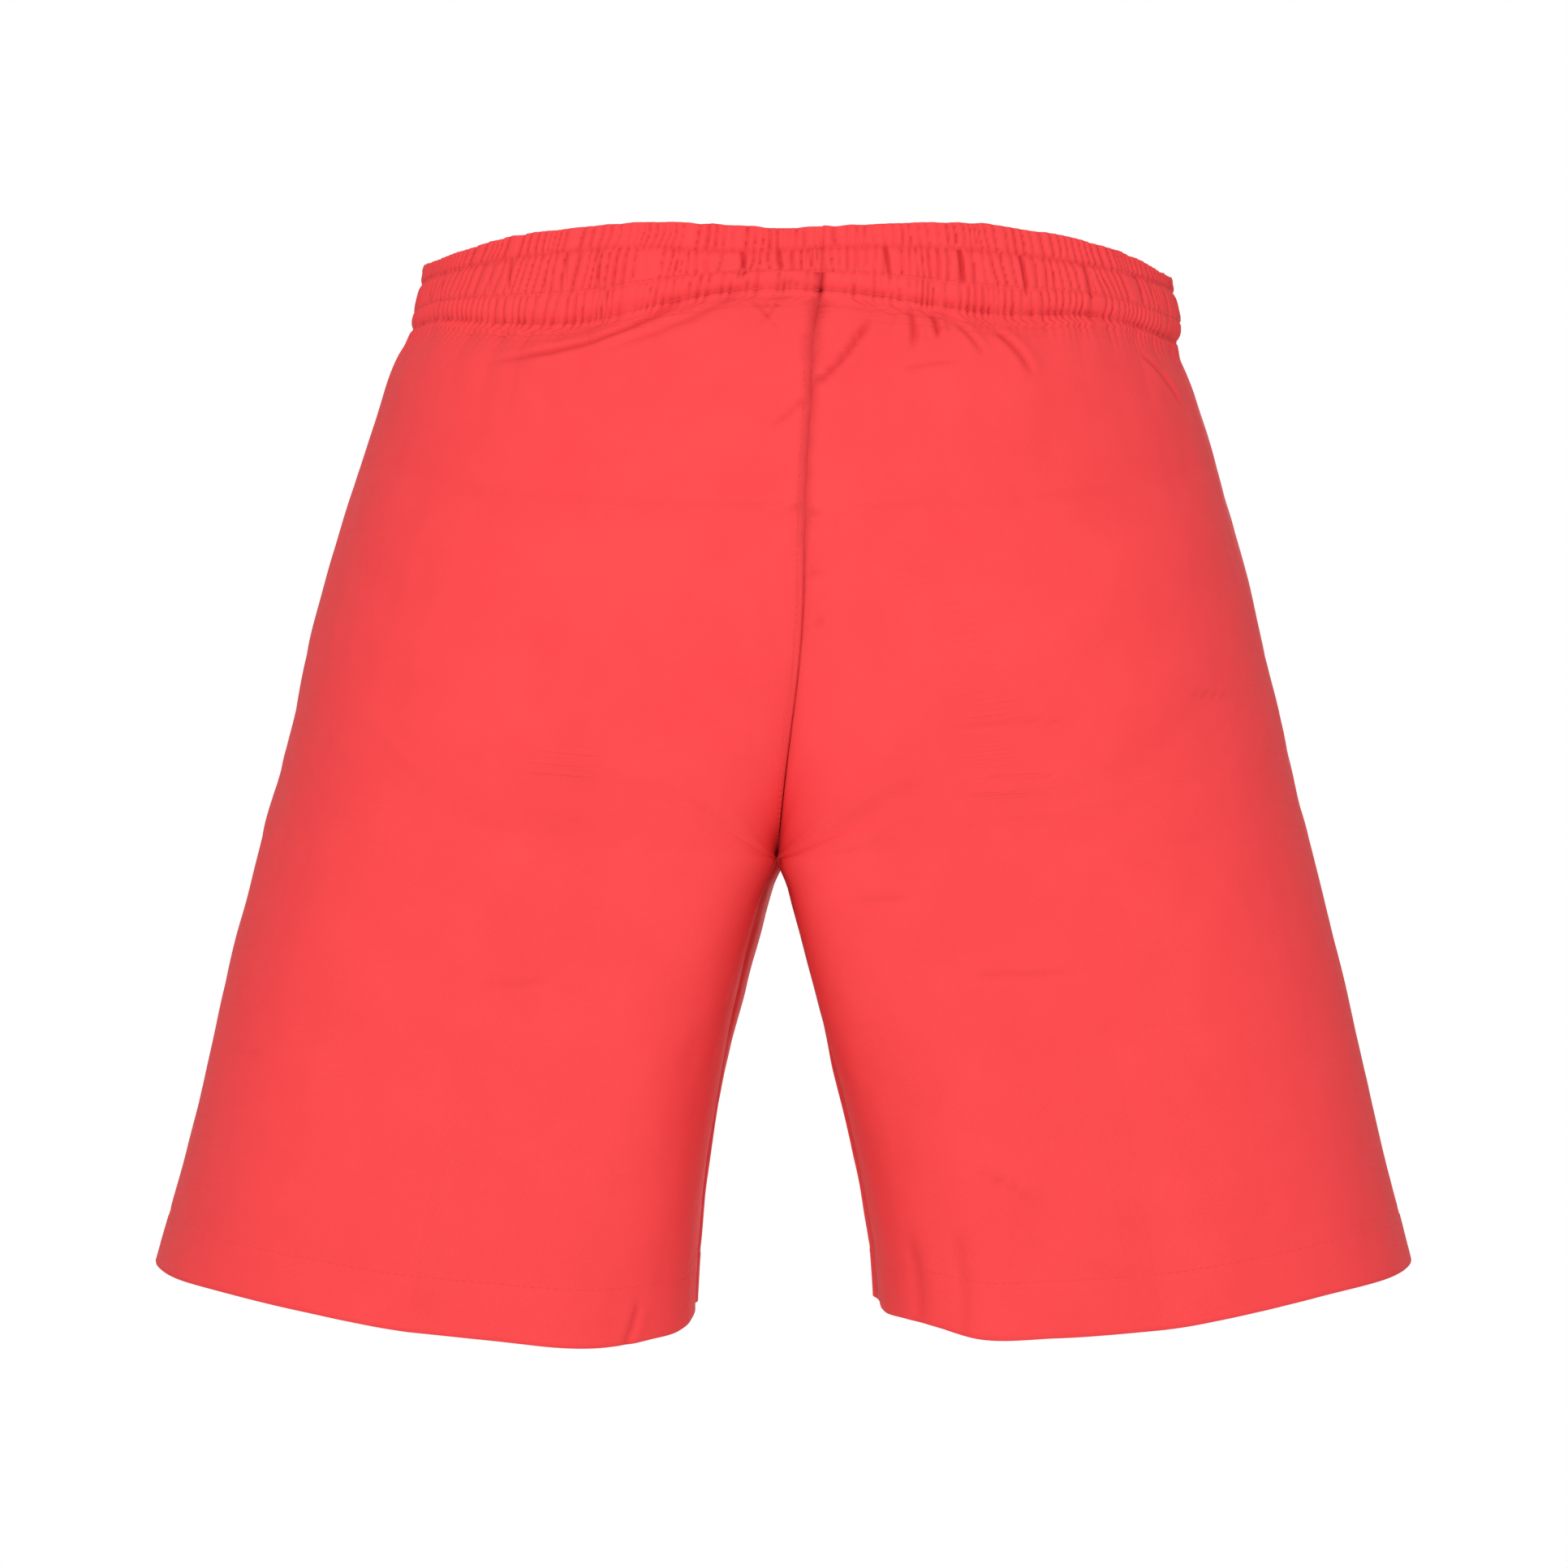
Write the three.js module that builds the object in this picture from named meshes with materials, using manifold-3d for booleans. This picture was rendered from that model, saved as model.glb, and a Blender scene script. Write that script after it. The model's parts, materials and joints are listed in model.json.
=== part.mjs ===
// Elasticated sport shorts, as worn: front towards -Y, wearer's left towards +X, waist plane at z = 0.
// Millimetres. Cloth panels are closed shells; the casing is folded over a separate elastic.
import * as THREE from "three";
import { mergeVertices } from "three/addons/utils/BufferGeometryUtils.js";
import Module from "manifold-3d";

const wasm = await Module();
wasm.setup();

// Waist
const waistHalfWidth = 144;
const waistHalfDepth = 102;
const sideTop = 11; // top edge above the waist plane at the side seams
const backRaise = 10; // how much higher the top edge is at centre back
const frontDrop = 8; // how much lower it is at centre front

// Body and legs
const riseDepth = 213; // waist plane to crotch
const sideLength = 370; // waist plane to hem at the side seam
const inseamHem = 389; // waist plane to hem at the inseam
const hemHalfWidth = 237.5; // centre line to side seam at the hem
const hemInnerGap = 35; // centre line to inseam at the hem
const hemBackDepth = 94;
const hemFrontDepth = 93;
const hipSwell = 5.8; // side seam outside a straight line, at its fullest
const seatSwell = 23;
const bellySwell = 8;
const swellPeak = 0.28; // share of the side length at which the swells peak
const riseSquareness = 3.2; // exponent of the seat curve: 2 is an ellipse
const crotchSideLift = 8; // the row through the crotch meets the side seam this much higher
const hemDropBack = 6; // sag of the hem between its two seams
const hemDropFront = 3;

// Cloth, casing and elastic
const clothThickness = 1; // stands for two plies and their air
const seamGap = 0.3; // running gap between neighbouring pieces
const headerHeight = 8; // top edge to the upper stitch row
const bandHeight = 18; // top edge to the seam that joins band and body
const elasticWidth = 16;
const elasticThickness = 1.6;
const cordChannel = 1.9; // free depth in front of the elastic
const foldRadius = 1.2; // rounding of the folded top edge
const hemHeight = 19; // depth of the turned-up hem
const hemPlies = 2;

// Thread, eyelets and labels
const threadRadius = 0.25;
const topstitchOffset = 3; // distance from the seam to its topstitch
const eyeletSpacing = 26;
const eyeletBore = 2;
const eyeletBarrelWall = 0.5;
const eyeletFlangeRadius = 4;
const eyeletFlangeThickness = 0.7;
const patchWidth = 44;
const patchThickness = 0.5;
const washerThickness = 0.4;
const sizeLabelWidth = 24;
const sizeLabelHeight = 14;
const sizeLabelRaise = 3; // above the casing's lower edge, clear of the care label's swing
const careLabelWidth = 30;
const careLabelLength = 52;
const labelThickness = 0.4;

// Mesh density
const columns = 14; // from a centre seam to the side seam
const riseRows = 11;
const legRows = 7;
const quarterArc = 0.5523; // Bezier handle of a quarter ellipse

const tunnelDepth = cordChannel + elasticThickness + seamGap;
const casingThickness = 2 * clothThickness + tunnelDepth;
const lowerRowDrop = headerHeight + elasticWidth + 2 * seamGap - bandHeight;
const halfGap = seamGap / 2;
const threadStandoff = seamGap + threadRadius;

const { lerp } = THREE.MathUtils;

const colours = { cloth: 0xfe4c4f, elastic: 0xf4f1ee, metal: 0xb9babd, label: 0xf6f6f4, thread: 0xe8383e };

function material(name) {
  const metal = name === "metal";
  return new THREE.MeshStandardMaterial({
    color: colours[name],
    roughness: metal ? 0.3 : 0.75,
    metalness: metal ? 1 : 0,
  });
}

const shorts = new THREE.Group();

function addNode(name, geometry, finish) {
  const mesh = new THREE.Mesh(geometry, material(finish));
  mesh.name = name;
  shorts.add(mesh);
}

// ---- the cloth surface ----

// Share of a swell at height z: rises from nothing at the waist to 1, then fades towards the hem.
function swellAt(z) {
  const t = Math.max(0, -z / sideLength) / swellPeak;
  return t * Math.exp(1 - t);
}

function halfWidthAt(z) {
  const t = Math.max(0, -z / sideLength);
  return lerp(waistHalfWidth, hemHalfWidth, t) + hipSwell * swellAt(z);
}

function halfDepthAt(face, z) {
  const t = Math.max(0, -z / sideLength);
  const hemDepth = face > 0 ? hemBackDepth : hemFrontDepth;
  const swell = face > 0 ? seatSwell : bellySwell;
  return lerp(waistHalfDepth, hemDepth, t) + swell * swellAt(z);
}

const bandSeamSide = sideTop - bandHeight - seamGap;

function bandSeamCentre(face) {
  return bandSeamSide + (face > 0 ? backRaise : -frontDrop);
}

// The centre seam of the seat (face 1) or the front rise (face -1), from the band down to the crotch.
class RiseCurve extends THREE.Curve {
  constructor(face) {
    super();
    this.face = face;
  }

  getPoint(t, target = new THREE.Vector3()) {
    const power = 2 / riseSquareness;
    const down = Math.pow(Math.sin((t * Math.PI) / 2), power);
    const out = Math.pow(Math.cos((t * Math.PI) / 2), power);
    const z = lerp(bandSeamCentre(this.face), -riseDepth, down);
    return target.set(0, halfDepthAt(this.face, z) * (t < 1 ? out : 0), z);
  }
}

const rises = new Map([
  [1, new RiseCurve(1)],
  [-1, new RiseCurve(-1)],
]);

// How much longer a row's two handles must be for the row to reach its full depth.
function fullnessFor(start, startHandle, endHandle, depth) {
  let scale = 1;
  for (let pass = 0; pass < 8; pass++) {
    let peak = 0;
    for (let t = 0; t < 1; t += 0.04) {
      const handles = 3 * (1 - t) * t * ((1 - t) * startHandle + t * endHandle);
      peak = Math.max(peak, (1 - t) ** 3 * start + scale * handles);
    }
    scale *= depth / peak;
  }
  return scale;
}

// One row of cloth on the wearer's left, as the control points of its plan curve and its end heights.
// f runs from 0 at the band to 1 at the crotch and 2 at the hem.
function clothRow(face, f) {
  const rise = rises.get(face).getPointAt(Math.min(f, 1));
  const g = Math.max(0, f - 1);
  const legStart = -riseDepth + crotchSideLift;
  const zInner = g > 0 ? lerp(-riseDepth, -inseamHem, g) : rise.z;
  const zSide = g > 0 ? lerp(legStart, -sideLength, g) : lerp(bandSeamSide, legStart, f);
  const depth = halfDepthAt(face, (zInner + zSide) / 2);
  const width = halfWidthAt(zSide);
  const legShare = 1 - rise.y / halfDepthAt(face, rise.z);
  const inner = hemInnerGap * (1 - Math.pow(1 - g, 1.5));
  const legHandle = (4 / 3) * depth;
  const startHandle = lerp(halfDepthAt(face, rise.z), legHandle, legShare);
  const endHandle = lerp(quarterArc * depth, legHandle, legShare);
  const fullness = fullnessFor(rise.y, startHandle, endHandle, Math.max(depth, rise.y));
  return {
    face,
    zInner,
    zSide,
    sag: g * (face > 0 ? hemDropBack : hemDropFront),
    plan: new THREE.CubicBezierCurve(
      new THREE.Vector2(inner, rise.y),
      new THREE.Vector2(lerp(quarterArc * width, inner, legShare), startHandle * fullness),
      new THREE.Vector2(width, endHandle * fullness),
      new THREE.Vector2(width, 0),
    ),
  };
}

// A point of that row, u from 0 at the centre seam or inseam to 1 at the side seam.
function rowPoint(row, u, side, edgeGap) {
  const flat = row.plan.getPoint(u);
  const turn = Math.cos((u * Math.PI) / 2);
  const z = lerp(row.zSide, row.zInner, turn * turn) - row.sag * Math.sin(u * Math.PI);
  return new THREE.Vector3(
    side * Math.max(flat.x, edgeGap),
    row.face * Math.max(flat.y, edgeGap),
    z,
  );
}

const riseLength = (face) => rises.get(face).getLength();
const hemStitchRow = 2 - hemHeight / (sideLength - riseDepth);
const lowerStitchRow = (face) => lowerRowDrop / riseLength(face);

function panelRows(face) {
  const first = lowerStitchRow(face);
  const rows = [0, first];
  for (let i = 1; i <= riseRows; i++) rows.push(lerp(first, 1, i / riseRows));
  for (let i = 1; i <= legRows; i++) rows.push(lerp(1, hemStitchRow, i / legRows));
  rows.push(lerp(hemStitchRow, 2, 0.1), 2);
  return rows;
}

// ---- closed shells and rings ----

function geometryFrom(points, triangles) {
  const geometry = new THREE.BufferGeometry();
  geometry.setAttribute(
    "position",
    new THREE.Float32BufferAttribute(points.flatMap((p) => [p.x, p.y, p.z]), 3),
  );
  geometry.setIndex(triangles.flat());
  geometry.computeVertexNormals();
  return geometry;
}

// Two grids of points, face and back, closed round their edge.
function shell(outer, inner, flip) {
  const rows = outer.length;
  const cols = outer[0].length;
  const at = (layer, i, j) => (layer * rows + i) * cols + j;
  const triangles = [];
  const quad = (a, b, c, d) => {
    triangles.push(flip ? [a, c, b] : [a, b, c], flip ? [a, d, c] : [a, c, d]);
  };
  for (let i = 0; i < rows - 1; i++) {
    for (let j = 0; j < cols - 1; j++) {
      quad(at(0, i, j), at(0, i, j + 1), at(0, i + 1, j + 1), at(0, i + 1, j));
      quad(at(1, i, j), at(1, i + 1, j), at(1, i + 1, j + 1), at(1, i, j + 1));
    }
    quad(at(0, i, 0), at(0, i + 1, 0), at(1, i + 1, 0), at(1, i, 0));
    quad(at(1, i, cols - 1), at(1, i + 1, cols - 1), at(0, i + 1, cols - 1), at(0, i, cols - 1));
  }
  for (let j = 0; j < cols - 1; j++) {
    quad(at(1, 0, j), at(1, 0, j + 1), at(0, 0, j + 1), at(0, 0, j));
    quad(at(0, rows - 1, j), at(0, rows - 1, j + 1), at(1, rows - 1, j + 1), at(1, rows - 1, j));
  }
  return geometryFrom([...outer.flat(), ...inner.flat()], triangles);
}

// A closed section, as [outwards, up] pairs, carried round a closed loop that lies roughly level.
function ring(loop, section) {
  const count = loop.length;
  const sides = section.length;
  const points = loop.flatMap((p, i) => {
    const out = outwardAt(loop, i);
    return section.map(([d, h]) => new THREE.Vector3(p.x + out.x * d, p.y + out.y * d, p.z + h));
  });
  const triangles = [];
  for (let i = 0; i < count; i++) {
    for (let k = 0; k < sides; k++) {
      const here = i * sides;
      const next = ((i + 1) % count) * sides;
      const l = (k + 1) % sides;
      triangles.push([here + k, next + k, next + l], [here + k, next + l, here + l]);
    }
  }
  return geometryFrom(points, triangles);
}

function outwardAt(loop, i) {
  const before = loop[(i + loop.length - 1) % loop.length];
  const after = loop[(i + 1) % loop.length];
  return new THREE.Vector2(before.y - after.y, after.x - before.x).multiplyScalar(-1).normalize();
}

// The section of a thread that lies on a surface.
function threadSection(height) {
  return [
    [threadStandoff + threadRadius, height],
    [threadStandoff, height + threadRadius],
    [seamGap, height],
    [threadStandoff, height - threadRadius],
  ];
}

function quarter(side, face, f) {
  const row = clothRow(face, f(face));
  return Array.from({ length: columns + 1 }, (_, j) => rowPoint(row, j / columns, side, 0));
}

// Anticlockwise seen from above, starting at centre front.
function waistLoop(f) {
  return [
    ...quarter(1, -1, f).slice(0, -1),
    ...quarter(1, 1, f).reverse().slice(0, -1),
    ...quarter(-1, 1, f).slice(0, -1),
    ...quarter(-1, -1, f).reverse().slice(0, -1),
  ];
}

function legLoop(side, f) {
  const front = quarter(side, -1, f);
  const back = quarter(side, 1, f);
  const loop = [...front.slice(0, -1), ...back.reverse().slice(0, -1)];
  return side > 0 ? loop : loop.reverse();
}

// ---- pieces ----

function outwardNormal(grid, i, j, sign) {
  const rows = grid.length - 1;
  const cols = grid[0].length - 1;
  const along = grid[i][Math.min(j + 1, cols)].clone().sub(grid[i][Math.max(j - 1, 0)]);
  const down = grid[Math.min(i + 1, rows)][j].clone().sub(grid[Math.max(i - 1, 0)][j]);
  return along.cross(down).multiplyScalar(sign).normalize();
}

function addPanel(name, side, face) {
  const rows = panelRows(face);
  const outer = rows.map((f) => {
    const row = clothRow(face, f);
    return Array.from({ length: columns + 1 }, (_, j) => rowPoint(row, j / columns, side, halfGap));
  });
  const inner = outer.map((line, i) =>
    line.map((point, j) => {
      const plies = rows[i] > hemStitchRow ? hemPlies : 1;
      const normal = outwardNormal(outer, i, j, side * face);
      const back = point.clone().addScaledVector(normal, -clothThickness * plies);
      back.x = side * Math.max(back.x * side, halfGap);
      back.y = face * Math.max(back.y * face, halfGap);
      return back;
    }),
  );
  addNode(name, shell(outer, inner, side * face < 0), "cloth");
}

function solidFrom(geometry) {
  const bare = geometry.index ? geometry.toNonIndexed() : geometry.clone();
  bare.deleteAttribute("normal");
  bare.deleteAttribute("uv");
  const merged = mergeVertices(bare, 1e-4);
  return new wasm.Manifold(
    new wasm.Mesh({
      numProp: 3,
      vertProperties: merged.attributes.position.array,
      triVerts: new Uint32Array(merged.index.array),
    }),
  );
}

function geometryOf(solid) {
  const mesh = solid.getMesh();
  const geometry = new THREE.BufferGeometry();
  geometry.setAttribute("position", new THREE.Float32BufferAttribute(mesh.vertProperties, 3));
  geometry.setIndex(new THREE.Uint32BufferAttribute(mesh.triVerts, 1));
  geometry.computeVertexNormals();
  return geometry;
}

const bandLoop = waistLoop(() => 0);
bandLoop.forEach((p) => {
  p.z += seamGap;
});

// Where the band's front face is, at a distance x from centre front: its point and outward direction.
function bandFront(x) {
  const row = clothRow(-1, 0);
  const side = x < 0 ? -1 : 1;
  let low = 0;
  let high = 1;
  while (high - low > 1e-6) {
    const middle = (low + high) / 2;
    if (row.plan.getPoint(middle).x < Math.abs(x)) low = middle;
    else high = middle;
  }
  const point = rowPoint(row, low, side, 0);
  const slope = row.plan.getTangent(low);
  const outward = new THREE.Vector3(-side * slope.y, -slope.x, 0).normalize();
  return { point: point.setZ(point.z + seamGap), outward };
}

// Stitch rows of the band and the eyelets between them, as heights above the band's lower edge.
const upperRow = bandHeight - headerHeight + 4 * threadRadius;
const middleRow = 2 * threadRadius;
const eyeletHeight = (upperRow + middleRow) / 2;
const eyeletRoom = (upperRow - middleRow) / 2 - threadRadius - seamGap;
const flangeRadius = Math.min(eyeletFlangeRadius, eyeletRoom);
const eyeletBarrelRadius = eyeletBore + eyeletBarrelWall;
const patchFace = clothThickness + seamGap + halfGap; // inwards from the band's outer face
const washerFace = patchFace + patchThickness + seamGap;
const barrelEnd = washerFace + washerThickness;

// A round piece turned about the axis of one eyelet; the profile is [radius, outwards] pairs.
function eyeletPiece(sign, profile) {
  const { point, outward } = bandFront((sign * eyeletSpacing) / 2);
  const outline = [...profile, profile[0]].map(([r, a]) => new THREE.Vector2(r, a));
  const geometry = new THREE.LatheGeometry(outline, 24);
  const turn = new THREE.Quaternion().setFromUnitVectors(new THREE.Vector3(0, 1, 0), outward);
  geometry.applyQuaternion(turn);
  return geometry.translate(point.x, point.y, point.z + eyeletHeight);
}

function eyeletHole(sign) {
  const radius = eyeletBarrelRadius + seamGap;
  const { point, outward } = bandFront((sign * eyeletSpacing) / 2);
  const geometry = new THREE.CylinderGeometry(radius, radius, 2 * barrelEnd, 24);
  const turn = new THREE.Quaternion().setFromUnitVectors(new THREE.Vector3(0, 1, 0), outward);
  geometry.applyQuaternion(turn);
  geometry.translate(point.x, point.y, point.z + eyeletHeight);
  return solidFrom(geometry);
}

function cutEyeletHoles(geometry) {
  return geometryOf(solidFrom(geometry).subtract(eyeletHole(1)).subtract(eyeletHole(-1)));
}

function addCasing() {
  const top = bandHeight;
  const innerFace = -casingThickness;
  const section = [
    [0, 0],
    [0, top - foldRadius],
    [-foldRadius, top],
    [innerFace + foldRadius, top],
    [innerFace, top - foldRadius],
    [innerFace, -lowerRowDrop],
    [innerFace + clothThickness, -lowerRowDrop],
    [innerFace + clothThickness, top - clothThickness],
    [-clothThickness, top - clothThickness],
    [-clothThickness, 0],
  ];
  addNode("waistband_casing", cutEyeletHoles(ring(bandLoop, section)), "cloth");
}

function addElastic() {
  const outer = -clothThickness - cordChannel;
  const top = bandHeight - headerHeight - seamGap;
  const section = [
    [outer, top - elasticWidth],
    [outer, top],
    [outer - elasticThickness, top],
    [outer - elasticThickness, top - elasticWidth],
  ];
  addNode("waist_elastic", ring(bandLoop, section), "elastic");
}

function addCasingStitches() {
  addNode("casing_stitch_upper", ring(bandLoop, threadSection(upperRow)), "thread");
  addNode("casing_stitch_middle", ring(bandLoop, threadSection(middleRow)), "thread");
  addNode("casing_stitch_lower", ring(waistLoop(lowerStitchRow), threadSection(0)), "thread");
}

// The thread beside a centre seam, on the wearer's left, laid a little off the cloth.
function addTopstitch(name, face) {
  const count = 24;
  const from = lowerStitchRow(face) * 1.6;
  const to = 0.93;
  const path = Array.from({ length: count + 1 }, (_, i) => {
    const row = clothRow(face, lerp(from, to, i / count));
    const { v0, v1 } = row.plan;
    const u = topstitchOffset / (3 * v0.distanceTo(v1));
    const point = rowPoint(row, u, 1, 0);
    const ahead = rowPoint(clothRow(face, lerp(from, to, (i + 0.5) / count)), u, 1, 0);
    const along = rowPoint(row, u + 0.02, 1, 0).sub(point);
    const out = along.cross(ahead.sub(point)).multiplyScalar(face).normalize();
    return point.addScaledVector(out, threadStandoff + halfGap);
  });
  const thread = new THREE.Shape().absarc(0, 0, threadRadius, 0, 2 * Math.PI);
  const geometry = new THREE.ExtrudeGeometry(thread, {
    steps: count,
    curveSegments: 3,
    bevelEnabled: false,
    extrudePath: new THREE.CatmullRomCurve3(path),
  });
  addNode(name, geometry, "thread");
}

function addHemStitches() {
  for (const [name, side] of [["left", 1], ["right", -1]]) {
    addNode(`hem_stitch_${name}`, ring(legLoop(side, () => hemStitchRow), threadSection(0)), "thread");
  }
}

function addEyelets() {
  const chamfer = eyeletFlangeThickness / 3;
  const front = seamGap + eyeletFlangeThickness;
  const eyelet = [
    [eyeletBore, -barrelEnd],
    [eyeletBarrelRadius, -barrelEnd],
    [eyeletBarrelRadius, seamGap],
    [flangeRadius, seamGap],
    [flangeRadius, front - chamfer],
    [flangeRadius - chamfer, front],
    [eyeletBore + chamfer, front],
    [eyeletBore, front - chamfer],
  ];
  const washerBore = eyeletBarrelRadius + seamGap;
  const washerRadius = flangeRadius - seamGap;
  const washer = [
    [washerBore, -barrelEnd],
    [washerRadius, -barrelEnd],
    [washerRadius, -washerFace],
    [washerBore, -washerFace],
  ];
  for (const [name, sign] of [["left", 1], ["right", -1]]) {
    addNode(`eyelet_${name}`, eyeletPiece(sign, eyelet), "metal");
    addNode(`eyelet_washer_${name}`, eyeletPiece(sign, washer), "metal");
  }
}

// A strip behind the band's front face that spreads the eyelets' pull.
function addEyeletPatch() {
  const count = 6;
  const arc = (inset) =>
    Array.from({ length: count + 1 }, (_, i) => {
      const { point, outward } = bandFront(lerp(-patchWidth / 2, patchWidth / 2, i / count));
      return new THREE.Vector2(point.x - outward.x * inset, point.y - outward.y * inset);
    });
  const outline = [...arc(patchFace), ...arc(patchFace + patchThickness).reverse()];
  const height = bandHeight - headerHeight;
  const geometry = new THREE.ExtrudeGeometry(new THREE.Shape(outline), {
    depth: height,
    bevelEnabled: false,
  });
  geometry.translate(0, 0, bandFront(0).point.z + eyeletHeight - height / 2);
  addNode("eyelet_patch", cutEyeletHoles(geometry), "label");
}

function addLabels() {
  const seam = bandSeamCentre(1) + seamGap;
  const innerFace = waistHalfDepth - casingThickness;
  const edge = sizeLabelWidth / 2 / waistHalfWidth;
  const faceAtEdge = waistHalfDepth * Math.sqrt(1 - edge * edge) - casingThickness;
  const sizeLabel = new THREE.BoxGeometry(sizeLabelWidth, labelThickness, sizeLabelHeight);
  const sizeLabelFoot = seam - lowerRowDrop + sizeLabelRaise;
  sizeLabel.translate(0, faceAtEdge - seamGap - labelThickness / 2, sizeLabelFoot + sizeLabelHeight / 2);
  addNode("size_label", sizeLabel, "label");
  const careLabel = new THREE.BoxGeometry(careLabelWidth, labelThickness, careLabelLength);
  const hingeHeight = seam - lowerRowDrop - seamGap - labelThickness / 2;
  careLabel.translate(0, innerFace + clothThickness / 2, hingeHeight - careLabelLength / 2);
  addNode("care_label", careLabel, "label");
}

addPanel("back_panel_left", 1, 1);
addPanel("back_panel_right", -1, 1);
addPanel("front_panel_left", 1, -1);
addPanel("front_panel_right", -1, -1);
addCasing();
addElastic();
addCasingStitches();
addTopstitch("seat_topstitch", 1);
addTopstitch("front_topstitch", -1);
addHemStitches();
addEyelets();
addEyeletPatch();
addLabels();

export default shorts;
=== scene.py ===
import json
import math

import bmesh
import bpy
import numpy as np
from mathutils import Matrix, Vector


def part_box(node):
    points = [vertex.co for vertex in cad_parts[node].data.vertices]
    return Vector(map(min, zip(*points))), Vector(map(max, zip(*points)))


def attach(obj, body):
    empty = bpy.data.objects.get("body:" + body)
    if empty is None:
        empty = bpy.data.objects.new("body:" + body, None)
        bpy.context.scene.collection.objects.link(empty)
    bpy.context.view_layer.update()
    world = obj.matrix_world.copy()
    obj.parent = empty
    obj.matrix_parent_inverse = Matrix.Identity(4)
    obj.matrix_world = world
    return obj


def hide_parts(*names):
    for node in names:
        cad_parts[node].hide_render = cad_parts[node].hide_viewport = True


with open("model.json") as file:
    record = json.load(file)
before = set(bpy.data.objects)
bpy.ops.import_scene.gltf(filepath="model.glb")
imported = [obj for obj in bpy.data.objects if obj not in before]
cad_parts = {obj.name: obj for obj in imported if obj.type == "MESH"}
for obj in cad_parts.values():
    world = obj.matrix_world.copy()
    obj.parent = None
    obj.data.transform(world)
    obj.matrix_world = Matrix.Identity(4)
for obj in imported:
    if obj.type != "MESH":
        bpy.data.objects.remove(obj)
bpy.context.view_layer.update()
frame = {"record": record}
mm = 0.001

# The whole garment in millimetres, waist plane at z = 0, front towards -Y, wearer's left towards +X.
garment = {
    "waistHalfWidth": 141,
    "waistHalfDepth": 102,
    "sideTop": 11,  # top edge above the waist plane at the side seams
    "backRaise": 10,
    "frontDrop": 8,
    "headerHeight": 7.6,
    "bandHeight": 18,
    "tunnelDrop": 6.6,  # lower stitch row under the band seam
    "riseDepth": 213,
    "riseSquareness": 4.6,
    "outerSquareness": 2.6,
    "innerSquareness": 3.8,
    "crotchSquareness": 3.4,  # more of it near the crotch
    "crotchSideLift": 8,
    "crotchOpening": 1.9,
    "legEase": 1.6,
    "sideLength": 370,
    "inseamHem": {1: 390.6, -1: 386},
    "hemInnerGap": 35,
    "hemHalfWidth": 236.3,
    "hemDepth": {1: 94, -1: 93},
    "swell": {1: 23, -1: 8},
    "hemSag": {1: 6, -1: 3},
    "hipSwell": 6.5,
    "swellPeak": 0.28,
    "hemHeight": 19,
    "thickness": 0.3,
}
seamGap = 0.3
bandSeamSide = garment["sideTop"] - garment["bandHeight"] - seamGap
legLength = garment["sideLength"] - garment["riseDepth"] + garment["crotchSideLift"]


def lerp(a, b, t):
    return a + (b - a) * t


def smooth(t):
    t = np.clip(t, 0, 1)
    return t * t * (3 - 2 * t)


def bump(x, width):
    return np.exp(-((x / width) ** 2))


# A curve through a few given points, with rounded corners.
def through(x, points):
    px = np.array([p[0] for p in points], float)
    py = np.array([p[1] for p in points], float)
    order = np.argsort(px)
    px, py = px[order], py[order]
    slope = np.gradient(py, px)
    i = np.clip(np.searchsorted(px, x) - 1, 0, len(px) - 2)
    h = px[i + 1] - px[i]
    t = np.clip((x - px[i]) / h, 0, 1)
    a = (2 * t**3 - 3 * t**2 + 1) * py[i] + (t**3 - 2 * t**2 + t) * h * slope[i]
    return a + (3 * t**2 - 2 * t**3) * py[i + 1] + (t**3 - t**2) * h * slope[i + 1]


def wavyLine(x, seed):
    table = np.random.RandomState(seed).uniform(-1, 1, 4096)
    i = np.floor(x).astype(int)
    t = smooth(x - i)
    return lerp(table[i % 4096], table[(i + 1) % 4096], t)


def wavyField(x, y, seed):
    table = np.random.RandomState(seed).uniform(-1, 1, (256, 256))
    i, j = np.floor(x).astype(int), np.floor(y).astype(int)
    t, w = smooth(x - i), smooth(y - j)
    low = lerp(table[i % 256, j % 256], table[(i + 1) % 256, j % 256], t)
    high = lerp(table[i % 256, (j + 1) % 256], table[(i + 1) % 256, (j + 1) % 256], t)
    return lerp(low, high, w)


# The smooth shape that lies under the folds.
def swellAt(z):
    t = np.maximum(0, -z / garment["sideLength"]) / garment["swellPeak"]
    return t * np.exp(1 - t)


def halfWidthAt(z):
    t = np.maximum(0, -z / garment["sideLength"])
    ease = garment["legEase"] * bump(z + 270, 55)
    width = lerp(garment["waistHalfWidth"], garment["hemHalfWidth"], t)
    return width + garment["hipSwell"] * swellAt(z) + ease


def halfDepthAt(face, z):
    t = np.maximum(0, -z / garment["sideLength"])
    return lerp(garment["waistHalfDepth"], garment["hemDepth"][face], t) + garment["swell"][face] * swellAt(z)


def riseLine(face):
    t = np.linspace(0, 1, 2000)
    power = 2 / garment["riseSquareness"]
    top = bandSeamSide + (garment["backRaise"] if face > 0 else -garment["frontDrop"])
    z = lerp(top, -garment["riseDepth"], np.sin(t * math.pi / 2) ** power)
    y = halfDepthAt(face, z) * np.abs(np.cos(t * math.pi / 2)) ** power
    y[-1] = 0
    run = np.concatenate([[0], np.cumsum(np.hypot(np.diff(y), np.diff(z)))])
    return run, y, z


riseLines = {face: riseLine(face) for face in (1, -1)}
riseLength = {face: riseLines[face][0][-1] for face in (1, -1)}


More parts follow.
